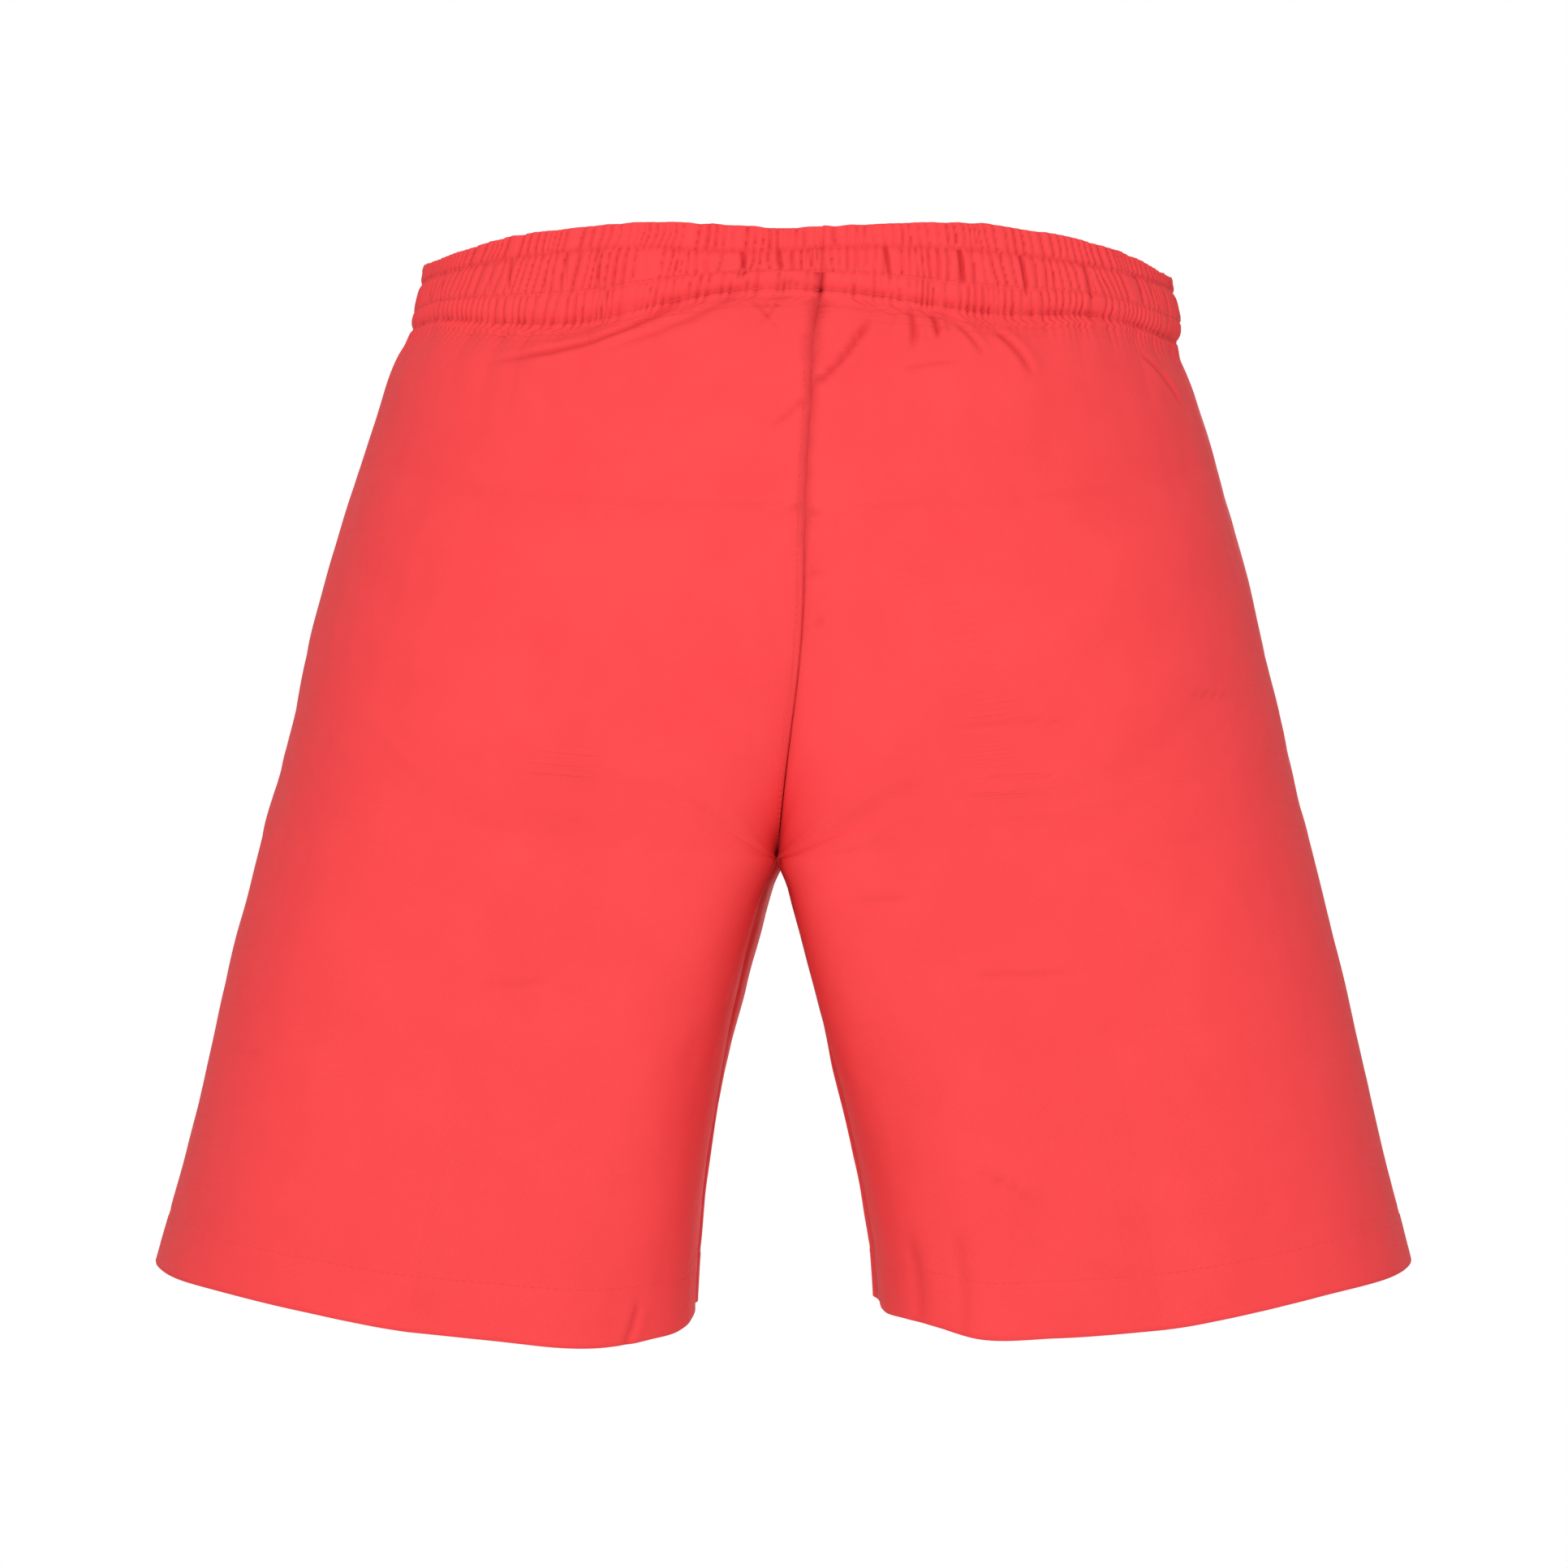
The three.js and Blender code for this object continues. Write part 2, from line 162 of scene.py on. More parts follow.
# Points of the cloth: f runs down from the band (0) past the crotch (1) to the hem (2),
# u runs round from the seat seam or inseam (0) to the side seam (1). Each row is part of a rounded
# box: a quarter of it round the hips, half of it round a leg, and what lies between near the crotch.
def clothPoints(side, face, f, u):
    run, riseY, riseZ = riseLines[face]
    at = np.minimum(f, 1) * run[-1]
    y0, z0 = np.interp(at, run, riseY), np.interp(at, run, riseZ)
    g = np.maximum(0, f - 1)
    legStart = -garment["riseDepth"] + garment["crotchSideLift"]
    zInner = np.where(g > 0, lerp(-garment["riseDepth"], -garment["inseamHem"][side], g), z0)
    zHip = lerp(bandSeamSide, legStart, np.minimum(f, 1))
    zSide = np.where(g > 0, lerp(legStart, -garment["sideLength"], g), zHip)
    width = halfWidthAt(zSide)
    legShare = 1 - y0 / halfDepthAt(face, z0)
    depth = halfDepthAt(face, (zInner + zSide) / 2)
    depth = y0 + np.maximum(depth - y0, 0) * smooth(legShare / 0.02)
    inner = garment["hemInnerGap"] * (1 - (1 - g) ** 1.5)
    inner = inner + garment["crotchOpening"] * smooth(g / 0.07) * (1 - g) ** 1.5
    innerCorner = 2 / (garment["innerSquareness"] + garment["crotchSquareness"] * bump(f - 1, 0.35))
    firstTurn = np.arcsin(np.clip(y0 / depth, 0, 1) ** (1 / innerCorner))
    firstCos = np.cos(firstTurn) ** innerCorner
    reach = (width - inner) / (1 + firstCos)
    turn = lerp(firstTurn[:, None], math.pi, u)
    cosine = np.cos(turn)
    corner = np.where(cosine > 0, innerCorner[:, None], 2 / garment["outerSquareness"])
    x = (width - reach)[:, None] - reach[:, None] * np.sign(cosine) * np.abs(cosine) ** corner
    y = depth[:, None] * np.clip(np.sin(turn), 0, 1) ** corner
    sink = np.cos(u * math.pi / 2) ** 2
    sag = (g * garment["hemSag"][face])[:, None] * np.sin(u * math.pi)
    z = lerp(zSide[:, None], zInner[:, None], sink) - sag
    z = z + (g**2)[:, None] * through(x, askew["hem"][side])
    return hangAskew(np.stack([side * x, face * y, z], -1))


# How the pair hangs a little off true: waist tilted and shifted, centre seam wandering.
askew = {
    "roll": 0.012,
    "shift": [(30, -5.6), (-5, -4.8), (-17, -2.6), (-50, -1.4), (-120, -0.4), (-250, 0)],
    "hem": {
        1: [(31, 10), (36, 5.6), (50, 1.3), (66, -2), (111, -2.2), (146, 0.6), (182, 3.9), (214, 5.1),
            (237, 3.6)],
        -1: [(30, 3.4), (44, 4.4), (56, 1.8), (68, -2.2), (100, -3.9), (140, -1.8), (176, 2.4), (205, 5.2),
             (237, 5)],
    },
    "seam": [(30, -7.5), (-35, -8), (-75, -6.6), (-130, -5.6), (-190, 1), (-220, 3.8), (-260, 4.2),
             (-360, 0)],
}


def hangAskew(points):
    x, y, z = points[..., 0], points[..., 1], points[..., 2]
    shift = through(z, askew["shift"]) + through(z, askew["seam"]) * bump(x, 70)
    shifted = x + shift * smooth((y + 70) / 80)
    return np.stack([shifted, y, z + askew["roll"] * x * (1 - smooth(-z / 110))], -1)


def outwardNormals(points, sign):
    normal = np.cross(np.gradient(points, axis=1), np.gradient(points, axis=0)) * sign
    return normal / np.maximum(np.linalg.norm(normal, axis=-1, keepdims=True), 1e-9)


def runAlong(points, axis):
    step = np.linalg.norm(np.diff(points, axis=axis), axis=-1)
    start = np.zeros_like(np.take(step, [0], axis=axis))
    return np.concatenate([start, np.cumsum(step, axis=axis)], axis=axis)


# The points of a line at given distances along it.
def pointsAt(at, run, line):
    return np.stack([np.interp(at, run, line[:, k]) for k in range(3)], -1)


# The gathered waist as one line all round, starting at the seat seam and going by the wearer's left.
quarterU = np.linspace(0, 1, 400)


def waistLine():
    quarters = {
        (side, face): clothPoints(side, face, np.zeros(1), quarterU[None, :])[0]
        for side in (1, -1) for face in (1, -1)
    }
    line = np.concatenate([
        quarters[1, 1], quarters[1, -1][::-1][1:], quarters[-1, -1][1:], quarters[-1, 1][::-1][1:],
    ])
    line = line + np.array([0, 0, seamGap])
    return line, runAlong(line[:, None, :], 0)[:, 0]


bandLine, bandRun = waistLine()
waistRound = bandRun[-1]
lastOfQuarter = len(quarterU) - 1
frontPoint, backPoint = 2 * lastOfQuarter, 4 * lastOfQuarter
quarterStart = {(1, 1): 0, (1, -1): frontPoint, (-1, -1): frontPoint, (-1, 1): backPoint}


# Distance round the waist that belongs to a column u of one panel.
def roundAt(side, face, u):
    corner = bandRun[quarterStart[side, face]]
    seam = bandRun[lastOfQuarter if side > 0 else 3 * lastOfQuarter]
    first = quarterStart[side, face]
    step = 1 if (side > 0) == (face > 0) else -1
    own = np.abs(bandRun[first + step * np.arange(lastOfQuarter + 1)] - corner)
    return corner + np.sign(seam - corner) * np.interp(u, quarterU, own)


# The band stands taller part-way round the back: how far its top rises and its lower row drops, by x.
bandWander = {
    "top": [(-142, -3.2), (-124, 0.2), (-84, 2.5), (-14, 0.2), (36, 2.5), (66, 1.3), (110, 0.7), (130, -1.7)],
    "middle": [(-60, 0), (-20, -0.9), (14, -2.6), (30, -2.2), (50, -0.4), (80, 0)],
    "lower": [(-143, -2.5), (-119, -0.9), (-78, -5), (-50, -3), (-24, 0), (24, -0.3), (46, -4.2), (76, -9.2),
              (102, -7), (130, -0.8)],
}


def wanderBand(points, h):
    x, y = points[..., 0], points[..., 1]
    top = through(x, bandWander["top"]) * smooth((h - 10.4) / 7.6)
    middle = through(x, bandWander["middle"]) * smooth((h + 6) / 14) * smooth((h + 6) / 14)
    drop = np.clip((10.4 - h) / 17, 0, 1) * (1 - smooth((-6.6 - h) / 42))
    lower = through(x, bandWander["lower"]) * drop
    lifted = points.copy()
    lifted[..., 2] += (top + middle + lower) * smooth((y + 20) / 70)
    return lifted


# How the waist is gathered: pitch and height of the tucks in each zone, and how fast they fade.
gathers = {
    "headerPitch": 3.3,
    "headerSlant": 0.5,
    "headerHeight": 1.9,
    "tunnelPitch": 3.7,
    "tunnelHeight": 1.9,
    "belowPitch": 3.1,
    "belowHeight": 1.6,
    "creaseEvery": 12.5,
    "creaseDepth": 1.9,
    "fade": 7,
    "longPitch": 15,
    "longHeight": 0.8,
    "longFade": 24,
}


# Rounded tucks with sharp valleys between them, each with a height of its own.
def tucks(s, pitch, seed, sharpness=0.7):
    phase = s / pitch + 0.9 * wavyLine(s / (2.7 * pitch), seed)
    cell = np.floor(phase).astype(int)
    height = np.random.RandomState(seed + 1).uniform(0.35, 1, 4096)[cell % 4096]
    return height * (np.sin(math.pi * (phase - cell)) ** sharpness - 1)


def headerGather(s, h):
    above = h - (garment["bandHeight"] - garment["headerHeight"])
    lean = gathers["headerSlant"] * np.sin(2 * math.pi * s / waistRound) * above
    drift = 0.7 * wavyField(s / 8, h / 5, 12)
    return gathers["headerHeight"] * (tucks(s + lean + drift, gathers["headerPitch"], 11) + 0.3)


# The cloth over the elastic: long tucks above the band seam, finer ones below it, and a few deep creases.
def tunnelGather(s, h):
    drift = 1.3 * wavyField(s / 9, h / 8, 21) + 0.35 * np.sin(2 * math.pi * s / waistRound) * h
    above = gathers["tunnelHeight"] * (tucks(s + drift, gathers["tunnelPitch"], 31) + 0.3)
    below = gathers["belowHeight"] * (tucks(s + 0.5 * drift, gathers["belowPitch"], 36) + 0.3)
    every = gathers["creaseEvery"]
    cell = np.floor(s / every).astype(int)
    draw = np.random.RandomState(41).uniform(0, 1, (4096, 3))[cell % 4096]
    centre = (cell + 0.2 + 0.6 * draw[..., 0]) * every
    reach = smooth((h - 1 + 6 * draw[..., 1]) / 3)
    deep = gathers["creaseDepth"] * draw[..., 2] ** 1.5 * bump(s - centre - 0.12 * (h - 6), 0.7) * reach
    return lerp(below, above, smooth((h + 0.8) / 2.2)) - deep


# The band's section: height above the band seam, and how far it stands off.
bandProfile = [
    (18.4, -2.6), (17.6, -1.7), (15, -1.2), (12.2, -0.8), (10.4, -0.9), (8.4, 0.1), (5, 1.1), (1.5, 1.8),
    (-1.5, 1.7), (-4, 1.0), (-6.6, -0.7), (-9, -1.0), (-13, -1.4), (-18, -0.7), (-26, 0), (-40, 0),
]


# 0 on open cloth, towards 1 in a valley: how much painted shade the cloth colour gets there.
def paintedValleyShade(relief, depth):
    return np.clip(-relief / depth, 0, 1)


def stitchDip(distance, depth, width=0.75):
    return -depth * bump(distance, width)


upperRow = garment["bandHeight"] - garment["headerHeight"]
lowerRow = -garment["tunnelDrop"]


# How far the band's cloth stands off the smooth shape at height h above the band seam.
def bandRelief(s, h):
    header = smooth((h - upperRow + 0.4) / 0.8)
    rows = 1 - 0.5 * bump(h - upperRow, 0.8) - 0.3 * bump(h, 0.8)
    gather = lerp(tunnelGather(s, h), headerGather(s, h), header) * rows
    pucker = 0.16 * np.sin(2 * math.pi * s / 2.8) * (bump(h - upperRow, 1.2) + bump(h - lowerRow, 1.2))
    fromJoin = np.minimum(s, waistRound - s)
    gather = (gather + pucker) * (1 - bump(fromJoin, 1.4)) - 0.7 * bump(fromJoin, 0.7)
    held = stitchDip(h - upperRow, 0.5) + stitchDip(h - lowerRow, 1.1, 0.9) + stitchDip(h - 0.7, 0.2, 0.5)
    return gather + held * (0.75 + 0.35 * wavyLine(s / 3.3, 45))


# Creases listed one by one: both ends in (x, z), how deep, how wide.
backCreases = [
    ((-30, -16), (-9, -41), 1.5, 2.6),
    ((-9, -41), (4, -54), 0.7, 2.4),
    ((42, -5), (104, -26), 1.3, 3),
    ((20, -6), (74, -24), 0.6, 3),
    ((3, -8), (10, -17), 0.6, 1.4),
    ((12, -8), (3, -19), 0.6, 1.4),
    ((-46, -8), (-47, -24), 1.3, 2.0),
    ((-54, -9), (-56, -19), 1.6, 1.8),
    ((-63, -12), (-72, -25), 0.9, 2.0),
    ((-78, -15), (-90, -33), 1.2, 2.2),
    ((-45, -33), (-63, -30), 0.5, 2.4),
    ((-134, -24), (-148, -42), 0.8, 1.4),
    ((-7, -76), (-19, -74), 0.5, 1.6),
    ((-6, -110), (-17, -107), 0.55, 1.6),
    ((-6, -124), (-15, -127), 0.55, 1.6),
    ((-66, -164), (-104, -163), 0.35, 1.8),
    ((-66, -256), (-102, -255), 0.35, 1.8),
    ((112, -258), (78, -261), 0.4, 1.8),
    ((206, -283), (194, -285), 0.35, 1.6),
    ((-27, -228), (-46, -227), 0.35, 1.8),
    ((-150, -152), (-164, -153), 0.4, 1.8),
    ((-72, -328), (-92, -339), 0.45, 2.2),
    ((-47, -355), (-50, -386), 0.6, 4),
    ((-63, -352), (-66, -390), 0.4, 5),
    ((55, -378), (60, -393), 0.8, 2.2),
]
frontCreases = [
    ((12, -30), (52, -74), 1.0, 3.2),
    ((-10, -28), (-46, -66), 0.9, 3.0),
    ((88, -22), (112, -52), 0.8, 3.0),
    ((-84, -22), (-120, -60), 0.9, 3.0),
    ((6, -152), (36, -138), 0.5, 3.4),
    ((-6, -158), (-48, -142), 0.5, 3.4),
    ((6, -190), (62, -170), 0.5, 4),
    ((-6, -192), (-58, -176), 0.5, 4),
    ((70, -240), (118, -236), 0.3, 3),
    ((-96, -262), (-138, -258), 0.3, 3),
]


def creaseRelief(x, z, creases):
    relief = np.zeros_like(x)
    for (ax, az), (bx, bz), depth, w in creases:
        length = math.hypot(bx - ax, bz - az)
        ux, uz = (bx - ax) / length, (bz - az) / length
        along = (x - ax) * ux + (z - az) * uz
        bow = 0.04 * length * np.sin(math.pi * np.clip(along / length, 0, 1))
        across = (x - ax) * uz - (z - az) * ux - bow
        ends = smooth(along / (0.3 * length) + 0.5) * smooth((length - along) / (0.45 * length) + 0.4)
        dip = -bump(across, w * 0.6) + 0.7 * bump(across - 1.3 * w, w) + 0.5 * bump(across + 1.3 * w, w)
        relief += depth * dip * ends
    return relief


# Rows and columns of the four body panels, and the depths that the finer rows reach.
panelDetail = {
    "coarse": 176,
    "fineRows": 34,
    "fineDepth": 24,
    "creaseRows": 44,
    "creaseDepth": 76,
    "bodyRows": 78,
    "legRows": 56,
    "hemRows": 12,
}


def panelRowsFor(face):
    fineEnd = panelDetail["fineDepth"] / riseLength[face]
    fine = fineEnd * np.linspace(0, 1, panelDetail["fineRows"]) ** 1.15
    hemRow = 2 - garment["hemHeight"] / legLength
    creaseEnd = panelDetail["creaseDepth"] / riseLength[face]
    creased = np.linspace(fineEnd, creaseEnd, panelDetail["creaseRows"])[1:]
    body = np.linspace(creaseEnd, 1, panelDetail["bodyRows"])[1:]
    leg = np.linspace(1, hemRow, panelDetail["legRows"])[1:]
    hem = np.linspace(hemRow, 2, panelDetail["hemRows"])[1:]
    return fine, np.concatenate([creased, body, leg, hem]), hemRow


def panelRelief(side, face, points, f, u, down, across, length):
    s = roundAt(side, face, u)[None, :] + np.zeros_like(down)
    h = -down
    x, z = points[..., 0], points[..., 2]
    toSide = length - across
    edge = smooth(across / 16) * smooth(toSide / 16)
    stay = np.exp(-np.maximum(down - garment["tunnelDrop"], 0) / gathers["fade"])
    gather = bandRelief(s, h) * stay
    relief = through(h, bandProfile) + gather
    hangs = smooth((down - garment["tunnelDrop"]) / 6) * np.exp(-down / gathers["longFade"])
    relief += 2 * gathers["longHeight"] * (tucks(s, gathers["longPitch"], 51, 1.2) + 0.4) * hangs * edge
    seed = 60 + 10 * side + 3 * face
    flare = smooth((f - 0.55) / 1.2)[:, None]
    relief += 2.2 * wavyField(u[None, :] * 5 + 0 * down, f[:, None] * 0.9 + 0 * down, seed) * flare * edge
    relief += 0.9 * wavyField(across / 34 + down / 90, down / 42, seed + 1) * edge * smooth(down / 30)
    relief += 0.2 * wavyField(across / 9, down / 13, seed + 2) * edge * smooth(down / 30)
    creases = backCreases if face > 0 else frontCreases
    crease = creaseRelief(x, z, creases) * smooth(across / 1.2) * smooth(toSide / 3)
    relief += crease
    beside = across - stitches["besideSeam"]
    uneven = 0.7 + 0.5 * wavyField(down / 6, 0 * down, seed + 5)
    dashes = 0.6 + 0.4 * np.sin(2 * math.pi * down / stitches["pitch"])
    relief += -0.15 * uneven * bump(across, 0.45) + 0.12 * bump(across - 3.5, 3)
    relief += -0.4 * uneven * bump(toSide, 0.9) + 0.3 * bump(toSide - 4, 3.5)
    sewn = smooth((0.97 - f) / 0.03)[:, None] * (side > 0)
    relief += sewn * (stitchDip(beside, 0.1, 0.5) + 0.1 * (dashes - 0.6) * bump(beside, 1.3))
    # painted shade: gather valleys, creases, the centre-seam and side-seam ditches and the topstitch dashes
    # darken the cloth colour through the fold attribute
    fold = 0.8 * paintedValleyShade(gather, 1.3) + 0.55 * paintedValleyShade(crease, 1.1) + 0.16 * uneven * bump(across, 0.4)
    fold += sewn * 0.2 * dashes * uneven * bump(beside, 0.4) + 0.35 * uneven * bump(toSide, 0.6)
    row = (2 - f)[:, None] * legLength - garment["hemHeight"]
    hemPucker = 0.12 * wavyField(across / 4, row / 6, seed + 4) * bump(row, 7)
    relief += stitchDip(row, 0.2, 0.7) * edge + hemPucker * edge + 0.08 * smooth(-row / 1.5)
    tucked = -0.35 * bump(down, 0.45)
    return relief + tucked, np.clip(fold, 0, 1)


def panelGrid(side, face):
    fine, low, hemRow = panelRowsFor(face)
    f = np.concatenate([fine, low])
    cols = 2 * panelDetail["coarse"] - 1
    u = np.linspace(0, 1, cols)
    base = clothPoints(side, face, f, u[None, :])
    down, across = runAlong(base, 0), runAlong(base, 1)
    length = across[:, -1:]
    normal = outwardNormals(base, side * face)
    atRise = (1 - smooth(across / 5)) * (f < 1.0)[:, None]
    atLegSeam = (1 - smooth(across / 5)) * (f >= 1.0)[:, None]
    normal[..., 0] *= 1 - atRise
    normal[..., 1] *= (1 - atLegSeam) * smooth((length - across) / 5)
    normal /= np.maximum(np.linalg.norm(normal, axis=-1, keepdims=True), 1e-6)
    relief, fold = panelRelief(side, face, base, f, u, down, across, length)
    points = wanderBand(base + normal * relief[..., None], -down)
    return {"f": f, "points": points, "normal": normal, "down": down, "across": across,
            "fold": fold, "fineRows": len(fine), "hemRow": hemRow}


# A piece from points in millimetres; its uvs, when it has them, run along and across the cloth.
def newPiece(name, points, faces, uvs=None):
    mesh = bpy.data.meshes.new(name)
    mesh.from_pydata((points * mm).tolist(), [], faces)
    if uvs is not None:
        layer = mesh.uv_layers.new(name="cloth")
        corner = np.zeros(len(mesh.loops), int)
        mesh.loops.foreach_get("vertex_index", corner)
        layer.data.foreach_set("uv", (uvs[corner] * mm).ravel())
    mesh.polygons.foreach_set("use_smooth", np.ones(len(mesh.polygons), bool))
    mesh.update()
    piece = bpy.data.objects.new(name, mesh)
    bpy.context.scene.collection.objects.link(piece)
    return piece


# A mesh from rows of points; rows before the split carry twice as many columns as those after it.
def meshFromRows(name, rows, uvs, paintedShades, flip, closed=False):
    starts = np.concatenate([[0], np.cumsum([len(r) for r in rows])])
    faces = []
    for i in range(len(rows) - 1):
        a, b = starts[i], starts[i + 1]
        n, m = len(rows[i]), len(rows[i + 1])
        if n == m:
            last = n if closed else n - 1
            j = np.arange(last)
            k = (j + 1) % n
            faces += np.stack([a + j, a + k, b + k, b + j], 1).tolist()
        else:
            j = np.arange(m - 1)
            faces += np.stack([a + 2 * j, a + 2 * j + 1, a + 2 * j + 2, b + j + 1, b + j], 1).tolist()
    if flip:
        faces = [face[::-1] for face in faces]
    piece = newPiece(name, np.concatenate(rows), faces, np.concatenate(uvs))
    # each point's painted shade goes into the fold attribute, which darkens the cloth colour
    depth = piece.data.attributes.new("fold", "FLOAT", "POINT")
    depth.data.foreach_set("value", np.concatenate(paintedShades).astype(np.float32))
    return piece


def applyModifier(piece, kind, **settings):
    modifier = piece.modifiers.new(kind.lower(), kind)
    for key, value in settings.items():
        setattr(modifier, key, value)
    bpy.ops.object.select_all(action="DESELECT")
    piece.select_set(True)
    bpy.context.view_layer.objects.active = piece
    bpy.ops.object.modifier_apply(modifier=modifier.name)


def thicken(piece, thickness):
    applyModifier(piece, "SOLIDIFY", thickness=thickness * mm, offset=-1, use_rim=True)


def addPanel(name, side, face):
    grid = panelGrid(side, face)
    points, normal = grid["points"], grid["normal"]
    uv = np.stack([grid["across"], grid["down"]], -1)
    rows, uvs, paintedShades = [], [], []
    for i in range(len(grid["f"])):
        every = 1 if i < grid["fineRows"] else 2
        rows.append(points[i, ::every])
        uvs.append(uv[i, ::every])
        paintedShades.append(grid["fold"][i, ::every])
    # the hem turns up inside: over the fold, then back up to its stitch row
    inset = 0.9
    fold = points[-1, ::2] - normal[-1, ::2] * inset / 2 - np.array([0, 0, 0.3])
    rows.append(fold)
    uvs.append(uv[-1, ::2] + np.array([0, 0.6]))
    paintedShades.append(0 * paintedShades[-1])
    turned = [i for i in range(len(grid["f"]) - 1, 0, -1) if grid["f"][i] >= grid["hemRow"] - 1e-6]
    for step, i in enumerate(turned):
        rows.append(points[i, ::2] - normal[i, ::2] * inset)
        uvs.append(uv[-1, ::2] + np.array([0, 1.2 + garment["hemHeight"] * step / len(turned)]))
        paintedShades.append(0 * paintedShades[-1])
    piece = meshFromRows(name, rows, uvs, paintedShades, side * face < 0)
    thicken(piece, garment["thickness"])
    return piece, grid


print("stage: surface ready")


# The waistband casing: one strip folded over at the top, its outer edge in the band seam.
casingDetail = {"columns": 1400, "rowStep": 0.5, "topWander": 0.35}
innerProfile = [
    (17.6, -1.9), (15, -1.7), (12, -1.8), (10.6, -2.2), (9.6, -4.6), (8.4, -5.5), (4, -5.8), (-1, -5.9),
    (-4.6, -5.6), (-5.8, -4.2), (-6.8, -1.7), (-9, -1.6),
]


def bandFrame(s):
    place = pointsAt(s, bandRun, bandLine)
    ahead, behind = [pointsAt((s + step) % waistRound, bandRun, bandLine) for step in (2, -2)]
    along = ahead - behind
    out = np.stack([along[:, 1], -along[:, 0], np.zeros(len(s))], -1)
    out /= np.linalg.norm(out, axis=1, keepdims=True)
    return place, out * np.sign((out * place).sum(1, keepdims=True))


# The eyelets: radii, and heights along their axis from the face of the cloth.
eyelets = {
    "height": 5.75,
    "bore": 2,
    "barrel": 2.5,
    "flange": 4,
    "flangeLow": 0.3,
    "flangeHigh": 0.95,
    "barrelEnd": -2.65,
    "washer": 3.7,
    "washerLow": -2.65,
    "washerHigh": -2.25,
    "clothHole": 2.7,
    "flatRadius": 5,
    "easeRadius": 7,
    "lowestSeat": 1.7,  # below this the casing goes back to the cloth it is sewn to
}
frontCentre = bandRun[frontPoint]


# Where each eyelet goes through the cloth, and which way it faces.
def eyeletPlaces():
    places = {}
    for name in ("left", "right"):
        mount = next(m for m in frame["record"]["mounts"] if m["name"] == f"eyelet_face_{name}")
        axis = Vector(mount["axis"])
        low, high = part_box(f"eyelet_{name}")
        face = Vector((mount["pos_m"][0], mount["pos_m"][1], (low.z + high.z) / 2)) / mm
        places[name] = (face - axis * 1.0, axis)
    return places


def nearestEyelet(s, h):
    across = np.abs(np.abs(s - frontCentre) - eyeletSites["left"][0].x)
    return np.hypot(across, h - eyelets["height"])


# The eyelets pin the cloth flat: 0 at an eyelet, 1 away from it.
def awayFromEyelets(s, h):
    away = smooth((nearestEyelet(s, h) - eyelets["flatRadius"]) / eyelets["easeRadius"])
    return np.maximum(away, smooth((eyelets["lowestSeat"] - h) / eyelets["lowestSeat"]))


eyeletSites = eyeletPlaces()
site = eyeletSites["left"][0]
sitePlace, siteOut = bandFrame(np.array([frontCentre - site.x]))
eyeletSeat = float(((np.array(site) - sitePlace[0]) * np.array([*siteOut[0][:2], 0])).sum()) + 0.25


def outerBand(s, h):
    relief = through(h, bandProfile) + bandRelief(s, h)
    away = awayFromEyelets(s, h)
    return relief * away + eyeletSeat * (1 - away) - 0.35 * bump(h + 0.45, 0.42)


def innerBand(s, h):
    header = smooth((h - upperRow + 0.4) / 0.8)
    rows = 1 - bump(h - upperRow, 1.1) - bump(h - lowerRow, 1.3)
    puffs = -0.9 * (tucks(s, 4.8, 71) + 0.4) * rows * smooth((h - lowerRow - 0.8) / 2)
    return through(h, innerProfile) + lerp(puffs, headerGather(s, h), header)


def casingRows(s):
    outer = np.concatenate([[-0.45, 0], np.arange(casingDetail["rowStep"], 17.4, casingDetail["rowStep"])])
    inner = np.concatenate([np.arange(17.1, upperRow, -0.85), np.arange(upperRow, -7, -1.0), [-7.4, -7.9]])
    place, out = bandFrame(s)
    dip = casingDetail["topWander"] * wavyLine(s / 5, 81) + 0.3 * wavyLine(s / 23, 82)

    def row(h, offset):
        drop = dip * smooth((h - upperRow) / 7)
        return wanderBand(place + out * offset[:, None] + np.stack([0 * s, 0 * s, h - drop], -1), h)

    rows = [row(h, outerBand(s, h + 0 * s)) for h in outer]
    # painted shade: each row darkens the cloth colour in its gather valleys, through the fold attribute
    paintedShades = [0.75 * paintedValleyShade(bandRelief(s, h + 0 * s) * awayFromEyelets(s, h), 1.3) for h in outer]
    topOut, topIn = outerBand(s, 17.4 + 0 * s), innerBand(s, 17.1 + 0 * s)
    for share, h in ((0.15, 17.8), (0.5, 18.0), (0.85, 17.8)):
        rows.append(row(h, lerp(topOut, topIn, share)))
        paintedShades.append(0.6 * paintedValleyShade(headerGather(s, h + 0 * s), 1.3))
    rows += [row(h, innerBand(s, h + 0 * s)) for h in inner]
    paintedShades += [0.7 * paintedValleyShade(headerGather(s, h + 0 * s), 1.3) * (h > upperRow) for h in inner]
    return rows, paintedShades


def addCasing():
    s = np.linspace(0, waistRound, casingDetail["columns"], endpoint=False)
    rows, paintedShades = casingRows(s)
    down = np.cumsum([0] + [np.linalg.norm(b - a, axis=1).mean() for a, b in zip(rows, rows[1:])])
    uvs = [np.stack([s, 0 * s + d], -1) for d in down]
    piece = meshFromRows("waistband_casing_gathered", rows, uvs, paintedShades, True, closed=True)
    # open the cloth behind each eyelet
    mesh = bmesh.new()
    mesh.from_mesh(piece.data)
    gone = [
        f for f in mesh.faces
        if any((f.calc_center_median() / mm - place).length < eyelets["clothHole"]
               for place, axis in eyeletSites.values())
    ]
    bmesh.ops.delete(mesh, geom=gone, context="FACES")
    mesh.to_mesh(piece.data)
    mesh.free()
    return piece


# Sewing: a row of real stitches laid on a line of points.
stitches = {"pitch": 2.8, "length": 2.1, "radius": 0.26, "hemRadius": 0.13, "besideSeam": 2.6}


